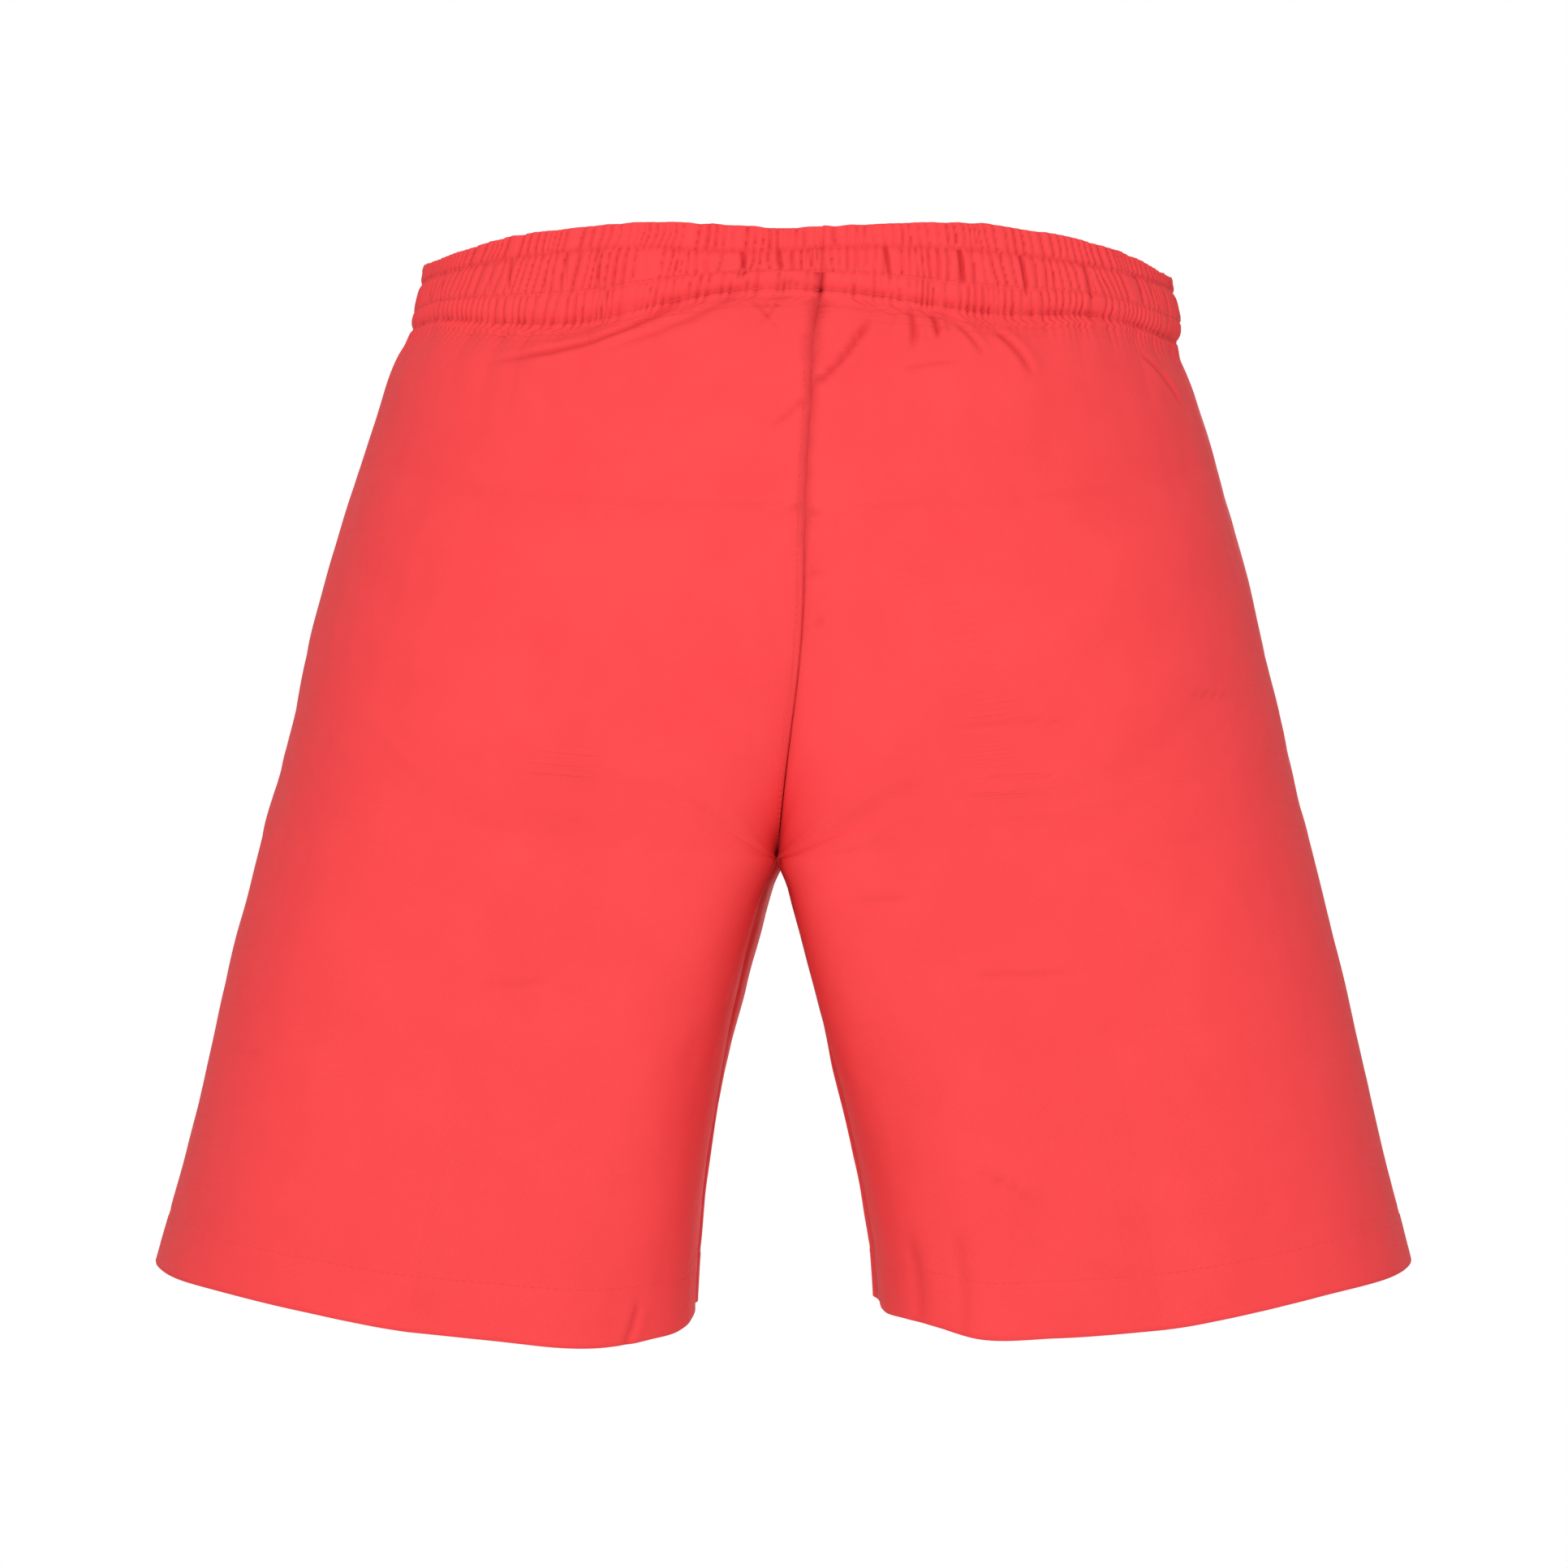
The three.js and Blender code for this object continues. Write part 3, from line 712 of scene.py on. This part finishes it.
def addStitches(name, lines, radius=stitches["radius"], pitch=stitches["pitch"]):
    corners = 6
    sides = np.linspace(0, 2 * math.pi, corners, endpoint=False)
    stations = np.array([0, 0.16, 0.5, 0.84, 1])
    perStitch = corners * len(stations)
    thickness = np.array([0.45, 0.95, 1, 0.95, 0.45]) * radius
    lift = np.array([-0.9, 0.1, 0.35, 0.1, -0.9]) * radius
    verts, faces, total = [], [], 0
    for points, normals in lines:
        run = runAlong(points[:, None, :], 0)[:, 0]
        starts = np.arange(0.4, run[-1] - pitch, pitch)
        at = starts[:, None] + stations * stitches["length"]
        place, up = pointsAt(at, run, points), pointsAt(at, run, normals)
        up /= np.linalg.norm(up, axis=-1, keepdims=True)
        along = place[:, -1:] - place[:, :1]
        along /= np.linalg.norm(along, axis=-1, keepdims=True)
        beside = np.cross(along, up)
        place = place + up * lift[:, None]
        ring = up[:, :, None] * np.cos(sides)[:, None] + beside[:, :, None] * np.sin(sides)[:, None]
        verts.append((place[:, :, None] + ring * thickness[:, None, None]).reshape(-1, 3))
        k = np.arange(corners)
        after = (k + 1) % corners
        firsts = total + perStitch * np.arange(len(starts))
        for low in range(0, perStitch - corners, corners):
            quad = np.stack([low + k, low + after, low + corners + after, low + corners + k], 1)
            faces += (quad + firsts[:, None, None]).reshape(-1, 4).tolist()
        for cap in (k[::-1], perStitch - corners + k):
            faces += (cap + firsts[:, None]).tolist()
        total += perStitch * len(starts)
    piece = newPiece(name, np.concatenate(verts), faces)
    recalculateNormals(piece)
    return piece


def recalculateNormals(piece):
    mesh = bmesh.new()
    mesh.from_mesh(piece.data)
    bmesh.ops.recalc_face_normals(mesh, faces=mesh.faces)
    mesh.to_mesh(piece.data)
    mesh.free()


# A line on a panel at a fixed distance down from the band seam.
def lineDown(grid, distance):
    points, normals = [], []
    for j in range(grid["down"].shape[1]):
        t = np.interp(distance, grid["down"][:, j], np.arange(len(grid["f"])))
        i = min(int(t), len(grid["f"]) - 2)
        points.append(lerp(grid["points"][i, j], grid["points"][i + 1, j], t - i))
        normals.append(grid["normal"][i, j])
    return np.array(points), np.array(normals)


# The point and the normal at a distance across row i of a panel.
def acrossRow(grid, i, distance):
    across = grid["across"][i]
    t = min(np.interp(distance, across, np.arange(len(across))), len(across) - 1.001)
    j = int(t)
    return lerp(grid["points"][i, j], grid["points"][i, j + 1], t - j), grid["normal"][i, j]


# A line down a panel at a fixed distance from its centre seam, between two rows.
def lineBeside(grid, distance, first, last):
    found = [acrossRow(grid, i, distance) for i in range(len(grid["f"])) if first <= grid["f"][i] <= last]
    return np.array([point for point, normal in found]), np.array([normal for point, normal in found])


def allRound(lines):
    order = [(1, 1, 1), (1, -1, -1), (-1, -1, 1), (-1, 1, -1)]
    points = np.concatenate([lines[side, face][0][::way] for side, face, way in order])
    normals = np.concatenate([lines[side, face][1][::way] for side, face, way in order])
    keep = np.concatenate([[True], np.linalg.norm(np.diff(points, axis=0), axis=1) > 1e-4])
    return points[keep], normals[keep]


def bandRow(h):
    s = np.linspace(0, waistRound, 1500)
    place, out = bandFrame(s)
    offset = outerBand(s, h + 0 * s)
    return wanderBand(place + out * offset[:, None] + np.array([0, 0, h]), h), out


# A strip of tape: one closed section carried from end to end, or all the way round.
def addStrip(name, sections, uvs, closedRound):
    count, around = sections.shape[:2]
    faces = []
    j = np.arange(around)
    k = (j + 1) % around
    for i in range(count if closedRound else count - 1):
        a, b = i * around, ((i + 1) % count) * around
        faces += np.stack([a + j, a + k, b + k, b + j], 1).tolist()
    if not closedRound:
        faces += [list(range(around))[::-1], [(count - 1) * around + q for q in range(around)]]
    piece = newPiece(name, sections.reshape(-1, 3), faces, uvs.reshape(-1, 2))
    recalculateNormals(piece)
    return piece


elastic = {"low": -4.9, "high": 8.9, "near": -2.9, "far": -4.5, "ribs": 9, "ribDepth": 0.16, "columns": 420}


def addElastic():
    s = np.linspace(0, waistRound, elastic["columns"], endpoint=False)
    place, out = bandFrame(s)
    steps = elastic["ribs"] * 4
    up = np.linspace(elastic["low"], elastic["high"], steps + 1)
    rib = elastic["ribDepth"] * np.cos(np.linspace(0, 2 * math.pi * elastic["ribs"], steps + 1))
    outline = [(elastic["near"] - elastic["ribDepth"] + r, h) for r, h in zip(rib, up)]
    outline += [(elastic["far"] + elastic["ribDepth"] - r, h) for r, h in zip(rib[::-1], up[::-1])]
    sections = np.stack([wanderBand(place + out * d + np.array([0, 0, h]), h) for d, h in outline], 1)
    sections += (out * (0.12 * np.sin(2 * math.pi * s / 3.1))[:, None])[:, None]
    roundWaist = np.repeat(s[:, None], len(outline), 1)
    along = np.repeat(np.arange(len(outline))[None, :] * 0.45, len(s), 0)
    return addStrip("waist_elastic_braided", sections, np.stack([roundWaist, along], -1), True)


# The non-woven strip that backs the eyelets, inside the band.
patch = {"halfWidth": 21.8, "low": 0.8, "high": 9.6, "near": -1.45, "far": -1.9, "cornerEase": 2.5}


def addPatch():
    s = np.linspace(-patch["halfWidth"], patch["halfWidth"], 60)
    place, out = bandFrame(frontCentre + s)
    ease = patch["cornerEase"]
    short = np.clip(np.abs(s) - patch["halfWidth"] + ease, 0, ease)
    trim = ease - np.sqrt(np.maximum(ease**2 - short**2, 0))
    steps = np.linspace(0, 1, 16)
    sections, uvs = [], []
    for depth, way in ((patch["near"], steps), (patch["far"], steps[::-1])):
        for t in way:
            h = lerp(patch["low"] + trim, patch["high"] - trim, t)
            sections.append(place + out * depth + np.stack([0 * h, 0 * h, h], -1))
            uvs.append(np.stack([s, h], -1))
    return addStrip("eyelet_patch_bonded", np.stack(sections, 1), np.stack(uvs, 1), False)


# A label: one tape folded in half, its two cut ends caught in a seam at the top.
labels = {
    "size_label": {"curl": 0.25, "bow": 0.1},
    "care_label": {"curl": 1.3, "bow": 0.7},
}
tape = {"thickness": 0.14, "gap": 0.24, "columns": 26, "rows": 30}


def addLabel(node, name):
    low, high = [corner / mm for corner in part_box(node)]
    half, middle = (high.x - low.x) / 2, (high.y + low.y) / 2
    t = np.linspace(0, 1, tape["rows"])
    turn = np.linspace(0, math.pi, 9)[1:-1]
    radius = tape["gap"] / 2
    z = np.concatenate([lerp(high.z, low.z + radius, t), low.z + radius * (1 - np.sin(turn)),
                        lerp(low.z + radius, high.z, t)])
    y = np.concatenate([0 * t - radius, -radius * np.cos(turn), 0 * t + radius])
    path = np.stack([y, z], -1)
    ahead = np.gradient(path, axis=0)
    beside = np.stack([-ahead[:, 1], ahead[:, 0]], -1)
    beside *= tape["thickness"] / 2 / np.linalg.norm(beside, axis=1, keepdims=True)
    outline = np.concatenate([path + beside, (path - beside)[::-1]])
    run = runAlong(path[:, None, :], 0)[:, 0]
    run = np.concatenate([run, run[::-1]])
    x = np.linspace(-half, half, tape["columns"])
    hang = (high.z - outline[:, 1]) / (high.z - low.z)
    shape = labels[node]
    away = shape["curl"] * hang**2 * np.sin(2.2 * hang)
    bow = shape["bow"] * (1 - (x[:, None] / half) ** 2) * hang
    depth = middle + outline[:, 0] - away - bow
    sections = np.stack([x[:, None] + 0 * hang, depth, outline[:, 1] + 0 * bow], -1)
    uvs = np.stack([x[:, None] + 0 * hang, run + 0 * bow], -1)
    return addStrip(name, sections, uvs, False)


# Seam allowances inside: two cut edges laid to one side and overlocked.
allowance = {
    "width": 8,
    "near": -0.45,
    "far": -1.05,
    "loopPitch": 1.7,
    "threadRadius": 0.16,
    "threadPitch": 2.6,
}


def seamStrip(grid, first, last, fromSide):
    near, far = allowance["near"], allowance["far"]
    strip, edges = [], []
    for i in range(len(grid["f"])):
        if not first <= grid["f"][i] <= last:
            continue
        total = grid["across"][i, -1]
        points = [
            acrossRow(grid, i, total - distance if fromSide else distance)
            for distance in (0.3, allowance["width"] / 2, allowance["width"])
        ]
        strip.append([p + n * near for p, n in points] + [p + n * far for p, n in points[::-1]])
        edges.append(points[1:])
    return np.array(strip), edges


def addAllowance(name, grid, first, last, fromSide):
    sections, edges = seamStrip(grid, first, last, fromSide)
    sections = sections[::2]
    run = runAlong(sections[:, :1], 0)[:, 0]
    uvs = np.stack([np.tile([0.3, 4, 8, 8, 4, 0.3], (len(run), 1)), run[:, None] + np.zeros(6)], -1)
    strip = addStrip(f"{name}_allowance", sections, uvs, False)
    # the allowance carries the fold attribute at 0, so it gets no painted shade
    strip.data.attributes.new("fold", "FLOAT", "POINT")
    # the overlock's needle thread runs to and fro between the edge and the seam
    inner = np.array([edge[0][0] + edge[0][1] * (allowance["far"] - 0.1) for edge in edges])
    outer = np.array([edge[1][0] + edge[1][1] * (allowance["far"] - 0.1) for edge in edges])
    normals = np.array([-edge[0][1] for edge in edges])
    run = runAlong(outer[:, None], 0)[:, 0]
    at = np.arange(0, run[-1], allowance["loopPitch"])
    edge, facing = pointsAt(at, run, outer), pointsAt(at, run, normals)
    zigzag = np.where((np.arange(len(at)) % 2 == 0)[:, None], pointsAt(at, run, inner), edge)
    loops = addStitches(f"{name}_overlock", [(zigzag, facing), (edge, facing)],
                        allowance["threadRadius"], allowance["threadPitch"])
    return strip, loops


# Eyelets and their washers are turned from plain rings.
def selectFaces(piece, keep):
    bpy.ops.object.mode_set(mode="EDIT")
    bpy.ops.mesh.select_mode(type="FACE")
    bpy.ops.mesh.select_all(action="DESELECT")
    mesh = bmesh.from_edit_mesh(piece.data)
    for face in mesh.faces:
        face.select = keep(face)
    bmesh.update_edit_mesh(piece.data)


def addRing(name, outer, inner, low, high):
    bpy.ops.object.select_all(action="DESELECT")
    bpy.ops.mesh.primitive_cylinder_add(vertices=64, radius=outer * mm, depth=(high - low) * mm,
                                        location=(0, 0, (low + high) / 2 * mm))
    ring = bpy.context.object
    ring.name = name
    bpy.ops.object.transform_apply(location=True, rotation=False, scale=False)
    selectFaces(ring, lambda face: abs(face.normal.z) > 0.9)
    bpy.ops.mesh.inset(thickness=(outer - inner) * mm)
    bpy.ops.mesh.bridge_edge_loops()
    bpy.ops.object.mode_set(mode="OBJECT")
    return ring


def finishRing(ring, bevel, place, axis):
    applyModifier(ring, "BEVEL", width=bevel * mm, segments=4, limit_method="ANGLE")
    bpy.ops.object.shade_smooth_by_angle(angle=math.radians(50))
    ring.rotation_euler = axis.to_track_quat("Z", "Y").to_euler()
    ring.location = place * mm
    bpy.ops.object.transform_apply(location=True, rotation=True, scale=False)
    return ring


def addEyelet(side):
    place, axis = eyeletSites[side]
    flange = addRing(f"eyelet_{side}_rolled", eyelets["flange"], eyelets["bore"],
                     eyelets["flangeLow"], eyelets["flangeHigh"])
    # the face is drawn up into a bead round the hole
    selectFaces(flange, lambda face: face.normal.z > 0.9)
    bpy.ops.mesh.inset(thickness=0.45 * mm)
    bpy.ops.transform.translate(value=(0, 0, 0.22 * mm))
    bpy.ops.object.mode_set(mode="OBJECT")
    barrel = addRing(f"eyelet_{side}_barrel", eyelets["barrel"], eyelets["bore"], eyelets["barrelEnd"], 0.4)
    bpy.ops.object.select_all(action="DESELECT")
    barrel.select_set(True)
    flange.select_set(True)
    bpy.context.view_layer.objects.active = flange
    bpy.ops.object.join()
    return finishRing(flange, 0.16, place, axis)


def addWasher(side):
    place, axis = eyeletSites[side]
    ring = addRing(f"eyelet_washer_{side}_pressed", eyelets["washer"], eyelets["barrel"] + 0.3,
                   eyelets["washerLow"], eyelets["washerHigh"])
    return finishRing(ring, 0.12, place, axis)


def hexColour(text):
    parts = [int(text[i:i + 2], 16) / 255 for i in (1, 3, 5)]
    return [c / 12.92 if c <= 0.04045 else ((c + 0.055) / 1.055) ** 2.4 for c in parts] + [1]


def newMaterial(name):
    material = bpy.data.materials.new(name)
    material.use_nodes = True
    return material, material.node_tree.nodes["Principled BSDF"]


def addNode(material, kind, settings=None, links=None):
    node = material.node_tree.nodes.new(kind)
    for key, value in (settings or {}).items():
        if isinstance(key, int) or key in node.inputs:
            node.inputs[key].default_value = value
        else:
            setattr(node, key, value)
    for key, socket in (links or {}).items():
        material.node_tree.links.new(node.inputs[key], socket)
    return node


def setShader(material, shader, settings, links):
    for key, value in settings.items():
        shader.inputs[key].default_value = value
    for key, socket in links.items():
        material.node_tree.links.new(shader.inputs[key], socket)


# Two colours mixed by a factor; either may be a hex value or another node's colour.
def blendColours(material, factor, first, second):
    node = addNode(material, "ShaderNodeMix", {"data_type": "RGBA"}, {0: factor})
    for slotIndex, colour in ((6, first), (7, second)):
        if isinstance(colour, str):
            node.inputs[slotIndex].default_value = hexColour(colour)
        else:
            material.node_tree.links.new(node.inputs[slotIndex], colour)
    return node.outputs[2]


# A wave texture's scale for bands this many metres apart.
def waveScale(spacing):
    return 2 * math.pi / spacing / 20


# Polyester microfibre, piece-dyed coral red and heat-set: a thin plain weave with a dull surface,
# faintly mottled; painted shade darkens it in the folds, valleys and seam ditches.
def microfibreCloth():
    material, shader = newMaterial("pieceDyedMicrofibre")
    uv = addNode(material, "ShaderNodeUVMap", {"uv_map": "cloth"})
    place = addNode(material, "ShaderNodeTexCoord")
    # threads lie 0.25 mm apart; they are drawn at 0.55 mm, the finest that shows
    threads = {"Scale": waveScale(0.00055), "Distortion": 0.6, "Detail": 1.0, "Detail Scale": 0.35}
    waves = [
        addNode(material, "ShaderNodeTexWave", {"bands_direction": way, **threads},
                {"Vector": uv.outputs["UV"]})
        for way in ("X", "Y")
    ]
    weave = addNode(material, "ShaderNodeMath", {"operation": "MULTIPLY"},
                    {0: waves[0].outputs["Fac"], 1: waves[1].outputs["Fac"]})
    slub = addNode(material, "ShaderNodeTexNoise", {"Scale": 260.0, "Detail": 3.0},
                   {"Vector": addNode(material, "ShaderNodeMapping", {"Scale": (0.12, 1.6, 1)},
                                      {"Vector": uv.outputs["UV"]}).outputs[0]})
    cloud = addNode(material, "ShaderNodeTexNoise", {"Scale": 38.0, "Detail": 4.0, "Roughness": 0.6},
                    {"Vector": place.outputs["Object"]})
    flat = blendColours(material, cloud.outputs["Fac"], "#EC4347", "#F54B4E")
    # painted shade: the fold attribute turns the colour towards #B81F2B in valleys, creases and seam ditches
    fold = addNode(material, "ShaderNodeAttribute", {"attribute_name": "fold"})
    deep = addNode(material, "ShaderNodeMath", {"operation": "MULTIPLY", 1: 0.8}, {0: fold.outputs["Fac"]})
    colour = blendColours(material, deep.outputs[0], flat, "#B81F2B")
    rough = addNode(material, "ShaderNodeMapRange", {"To Min": 0.5, "To Max": 0.64},
                    {"Value": slub.outputs["Fac"]})
    fine = addNode(material, "ShaderNodeBump", {"Strength": 0.35, "Distance": 0.00012},
                   {"Height": weave.outputs[0]})
    soft = addNode(material, "ShaderNodeBump", {"Strength": 0.25, "Distance": 0.0004},
                   {"Height": slub.outputs["Fac"], "Normal": fine.outputs["Normal"]})
    setShader(material, shader, {"IOR": 1.45, "Sheen Weight": 0.0, "Specular IOR Level": 0.06},
              {"Base Color": colour, "Roughness": rough.outputs[0], "Normal": soft.outputs["Normal"]})
    return material


# A material whose two shades and relief, and at times its gloss, all come from one fine texture.
def grained(name, texture, settings, shades, relief, surface, gloss=None, onCloth=False):
    material, shader = newMaterial(name)
    if onCloth:
        place = addNode(material, "ShaderNodeUVMap", {"uv_map": "cloth"}).outputs["UV"]
    else:
        place = addNode(material, "ShaderNodeTexCoord").outputs["Object"]
    grain = addNode(material, texture, settings, {"Vector": place})
    factor = grain.outputs["Distance" if "feature" in settings else "Fac"]
    raised = addNode(material, "ShaderNodeBump", {"Strength": relief[0], "Distance": relief[1]},
                     {"Height": factor})
    links = {"Base Color": blendColours(material, factor, *shades), "Normal": raised.outputs["Normal"]}
    if gloss:
        rough = addNode(material, "ShaderNodeMapRange", {"To Min": gloss[0], "To Max": gloss[1]},
                        {"Value": factor})
        links["Roughness"] = rough.outputs[0]
    setShader(material, shader, surface, links)
    return material


def dress(piece, material, body="shorts"):
    piece.data.materials.clear()
    piece.data.materials.append(material)
    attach(piece, body)


shellCloth = microfibreCloth()

# spun polyester dyed to the cloth: two plies twisted, slightly hairy
shellThread = grained(
    "spunPolyesterThread", "ShaderNodeTexNoise", {"Scale": 2600.0, "Detail": 2.0},
    ("#D9363B", "#EE454A"), (0.4, 0.0001),
    {"Roughness": 0.6, "Sheen Weight": 0.15, "Specular IOR Level": 0.35},
)

# braided polyester over rubber cores: white, with slanting yarns
elasticTape = grained(
    "braidedElasticTape", "ShaderNodeTexWave",
    {"bands_direction": "DIAGONAL", "Scale": waveScale(0.0011), "Distortion": 0.4},
    ("#D9D6CF", "#F2F0EA"), (0.5, 0.00015), {"Roughness": 0.7, "Sheen Weight": 0.1}, onCloth=True,
)

# brass pressed to shape and barrel-plated with nickel: bright, warm grey, with faint tumbling marks
platedBrass = grained(
    "nickelPlatedBrass", "ShaderNodeTexNoise", {"Scale": 1400.0, "Detail": 5.0, "Roughness": 0.7},
    ("#BDB8AE", "#D2CDC3"), (0.12, 0.00005), {"Metallic": 1.0}, gloss=(0.16, 0.34),
)

# thermally bonded polyester interlining: matt off-white, short fibres in every direction
interlining = grained(
    "bondedInterlining", "ShaderNodeTexVoronoi", {"Scale": 1300.0, "feature": "DISTANCE_TO_EDGE"},
    ("#D8D3C9", "#EFECE4"), (0.5, 0.0002), {"Roughness": 0.9, "Specular IOR Level": 0.2},
)

# woven satin tape: white floats run along it and glint; they lie 0.12 mm apart and are drawn at 0.4 mm
labelTape = grained(
    "wovenSatinTape", "ShaderNodeTexWave",
    {"bands_direction": "X", "Scale": waveScale(0.0004), "Distortion": 0.5},
    ("#E9E5DC", "#F7F5EF"), (0.3, 0.00006), {"Roughness": 0.38, "Sheen Weight": 0.08, "Anisotropic": 0.4},
    onCloth=True,
)

# Every piece is made, dressed and put in the place of its CAD node.
panels = {}
for side, sideName in ((1, "left"), (-1, "right")):
    for face, faceName in ((1, "back"), (-1, "front")):
        node = f"{faceName}_panel_{sideName}"
        piece, grid = addPanel(f"{node}_cloth", side, face)
        panels[side, face] = (piece, grid)
        dress(piece, shellCloth)
        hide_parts(node)
        print("stage:", node, len(piece.data.polygons))

casing = addCasing()
dress(casing, shellCloth)
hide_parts("waistband_casing")
print("stage: casing", len(casing.data.polygons))

elasticPiece = addElastic()
dress(elasticPiece, elasticTape)
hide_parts("waist_elastic")

grids = {key: value[1] for key, value in panels.items()}
lowerLines = {key: lineDown(grid, garment["tunnelDrop"]) for key, grid in grids.items()}
topstitched = (stitches["besideSeam"], 0.004, 0.99)
seams = {
    "casing_stitch_upper": [bandRow(upperRow)],
    "casing_stitch_middle": [bandRow(0.9)],
    "casing_stitch_lower": [allRound(lowerLines)],
    "seat_topstitch": [lineBeside(grids[1, 1], *topstitched)],
    "front_topstitch": [lineBeside(grids[1, -1], *topstitched)],
}
for side, name in ((1, "left"), (-1, "right")):
    rows = []
    for face in (1, -1):
        grid = grids[side, face]
        i = int(np.argmin(np.abs(grid["f"] - grid["hemRow"])))
        rows.append((grid["points"][i][::face], grid["normal"][i][::face]))
    seams[f"hem_stitch_{name}"] = [(np.concatenate([rows[0][0], rows[1][0][1:]]),
                                    np.concatenate([rows[0][1], rows[1][1][1:]]))]
for node, lines in seams.items():
    radius = stitches["hemRadius" if node.startswith("hem") else "radius"]
    piece = addStitches(f"{node}_sewn", lines, radius)
    dress(piece, shellThread)
    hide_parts(node)
print("stage: stitches")

for side in ("left", "right"):
    for piece, node in ((addEyelet(side), f"eyelet_{side}"), (addWasher(side), f"eyelet_washer_{side}")):
        dress(piece, platedBrass)
        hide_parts(node)
patchPiece = addPatch()
dress(patchPiece, interlining)
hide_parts("eyelet_patch")
sizeLabel = addLabel("size_label", "size_label_woven")
dress(sizeLabel, labelTape)
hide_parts("size_label")
careLabel = addLabel("care_label", "care_label_woven")
dress(careLabel, labelTape, "care_label")
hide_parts("care_label")
print("stage: eyelets, patch and labels")

allowances = {
    "seat_seam": (grids[1, 1], 0.045, 0.96, False),
    "front_rise": (grids[1, -1], 0.045, 0.96, False),
    "inseam_left": (grids[1, -1], 1.05, 1.86, False),
    "inseam_right": (grids[-1, -1], 1.05, 1.86, False),
    "side_seam_left": (grids[1, 1], 0.045, 1.86, True),
    "side_seam_right": (grids[-1, 1], 0.045, 1.86, True),
}
for name, (grid, first, last, fromSide) in allowances.items():
    strip, loops = addAllowance(name, grid, first, last, fromSide)
    dress(strip, shellCloth)
    dress(loops, shellThread)
print("stage: seam allowances")

# Camera, lights and floor.
studio = {
    "cameraDistance": 2.5,
    "cameraHeight": -0.185,
    "cameraSide": 0.0006,
    "frameWidth": 0.601,
    "floorHeight": -1.4,
    "floorRadius": 6.5,
    "backdrop": 1.0,
    "ambient": 0.62,
    "lampAim": (0, 0, -0.18),
}
scene = bpy.context.scene
scene.view_settings.view_transform = "Standard"
cameraData = bpy.data.cameras.new("camera")
cameraData.sensor_width = 36
cameraData.lens = 36 * studio["cameraDistance"] / studio["frameWidth"]
camera = bpy.data.objects.new("camera", cameraData)
camera.location = (studio["cameraSide"], studio["cameraDistance"], studio["cameraHeight"])
camera.rotation_euler = (math.pi / 2, 0, math.pi)
scene.collection.objects.link(camera)
scene.camera = camera

world = bpy.data.worlds.new("paleStudio")
world.use_nodes = True
scene.world = world
world.node_tree.nodes.clear()
rays = addNode(world, "ShaderNodeLightPath")
seen = addNode(world, "ShaderNodeBackground", {"Strength": studio["backdrop"], "Color": (1, 1, 1, 1)})
felt = addNode(world, "ShaderNodeBackground", {"Strength": studio["ambient"], "Color": (1, 1, 1, 1)})
mix = addNode(world, "ShaderNodeMixShader", {},
              {0: rays.outputs["Is Camera Ray"], 1: felt.outputs[0], 2: seen.outputs[0]})
addNode(world, "ShaderNodeOutputWorld", {}, {0: mix.outputs[0]})

lamps = [
    {"name": "keySoftbox", "at": (0.15, 2.15, 0.1), "size": 0.8, "power": 21},
    {"name": "topSoftbox", "at": (0.1, 0.6, 1.6), "size": 1.4, "power": 4},
    {"name": "frontSoftbox", "at": (-0.15, -2.15, 0.1), "size": 0.8, "power": 21},
]
for lamp in lamps:
    data = bpy.data.lights.new(lamp["name"], "AREA")
    data.size = lamp["size"]
    data.energy = lamp["power"]
    light = bpy.data.objects.new(lamp["name"], data)
    light.location = lamp["at"]
    light.rotation_euler = (Vector(studio["lampAim"]) - light.location).to_track_quat("-Z", "Y").to_euler()
    scene.collection.objects.link(light)

bpy.ops.object.select_all(action="DESELECT")
bpy.ops.mesh.primitive_circle_add(vertices=96, radius=studio["floorRadius"], fill_type="NGON",
                                  location=(0, 0, studio["floorHeight"]))
floor = bpy.context.object
floor.name = "floor"
paper, paperShader = newMaterial("mattBackgroundPaper")
paperShader.inputs["Base Color"].default_value = hexColour("#F4F3F1")
paperShader.inputs["Roughness"].default_value = 0.9
floor.data.materials.append(paper)
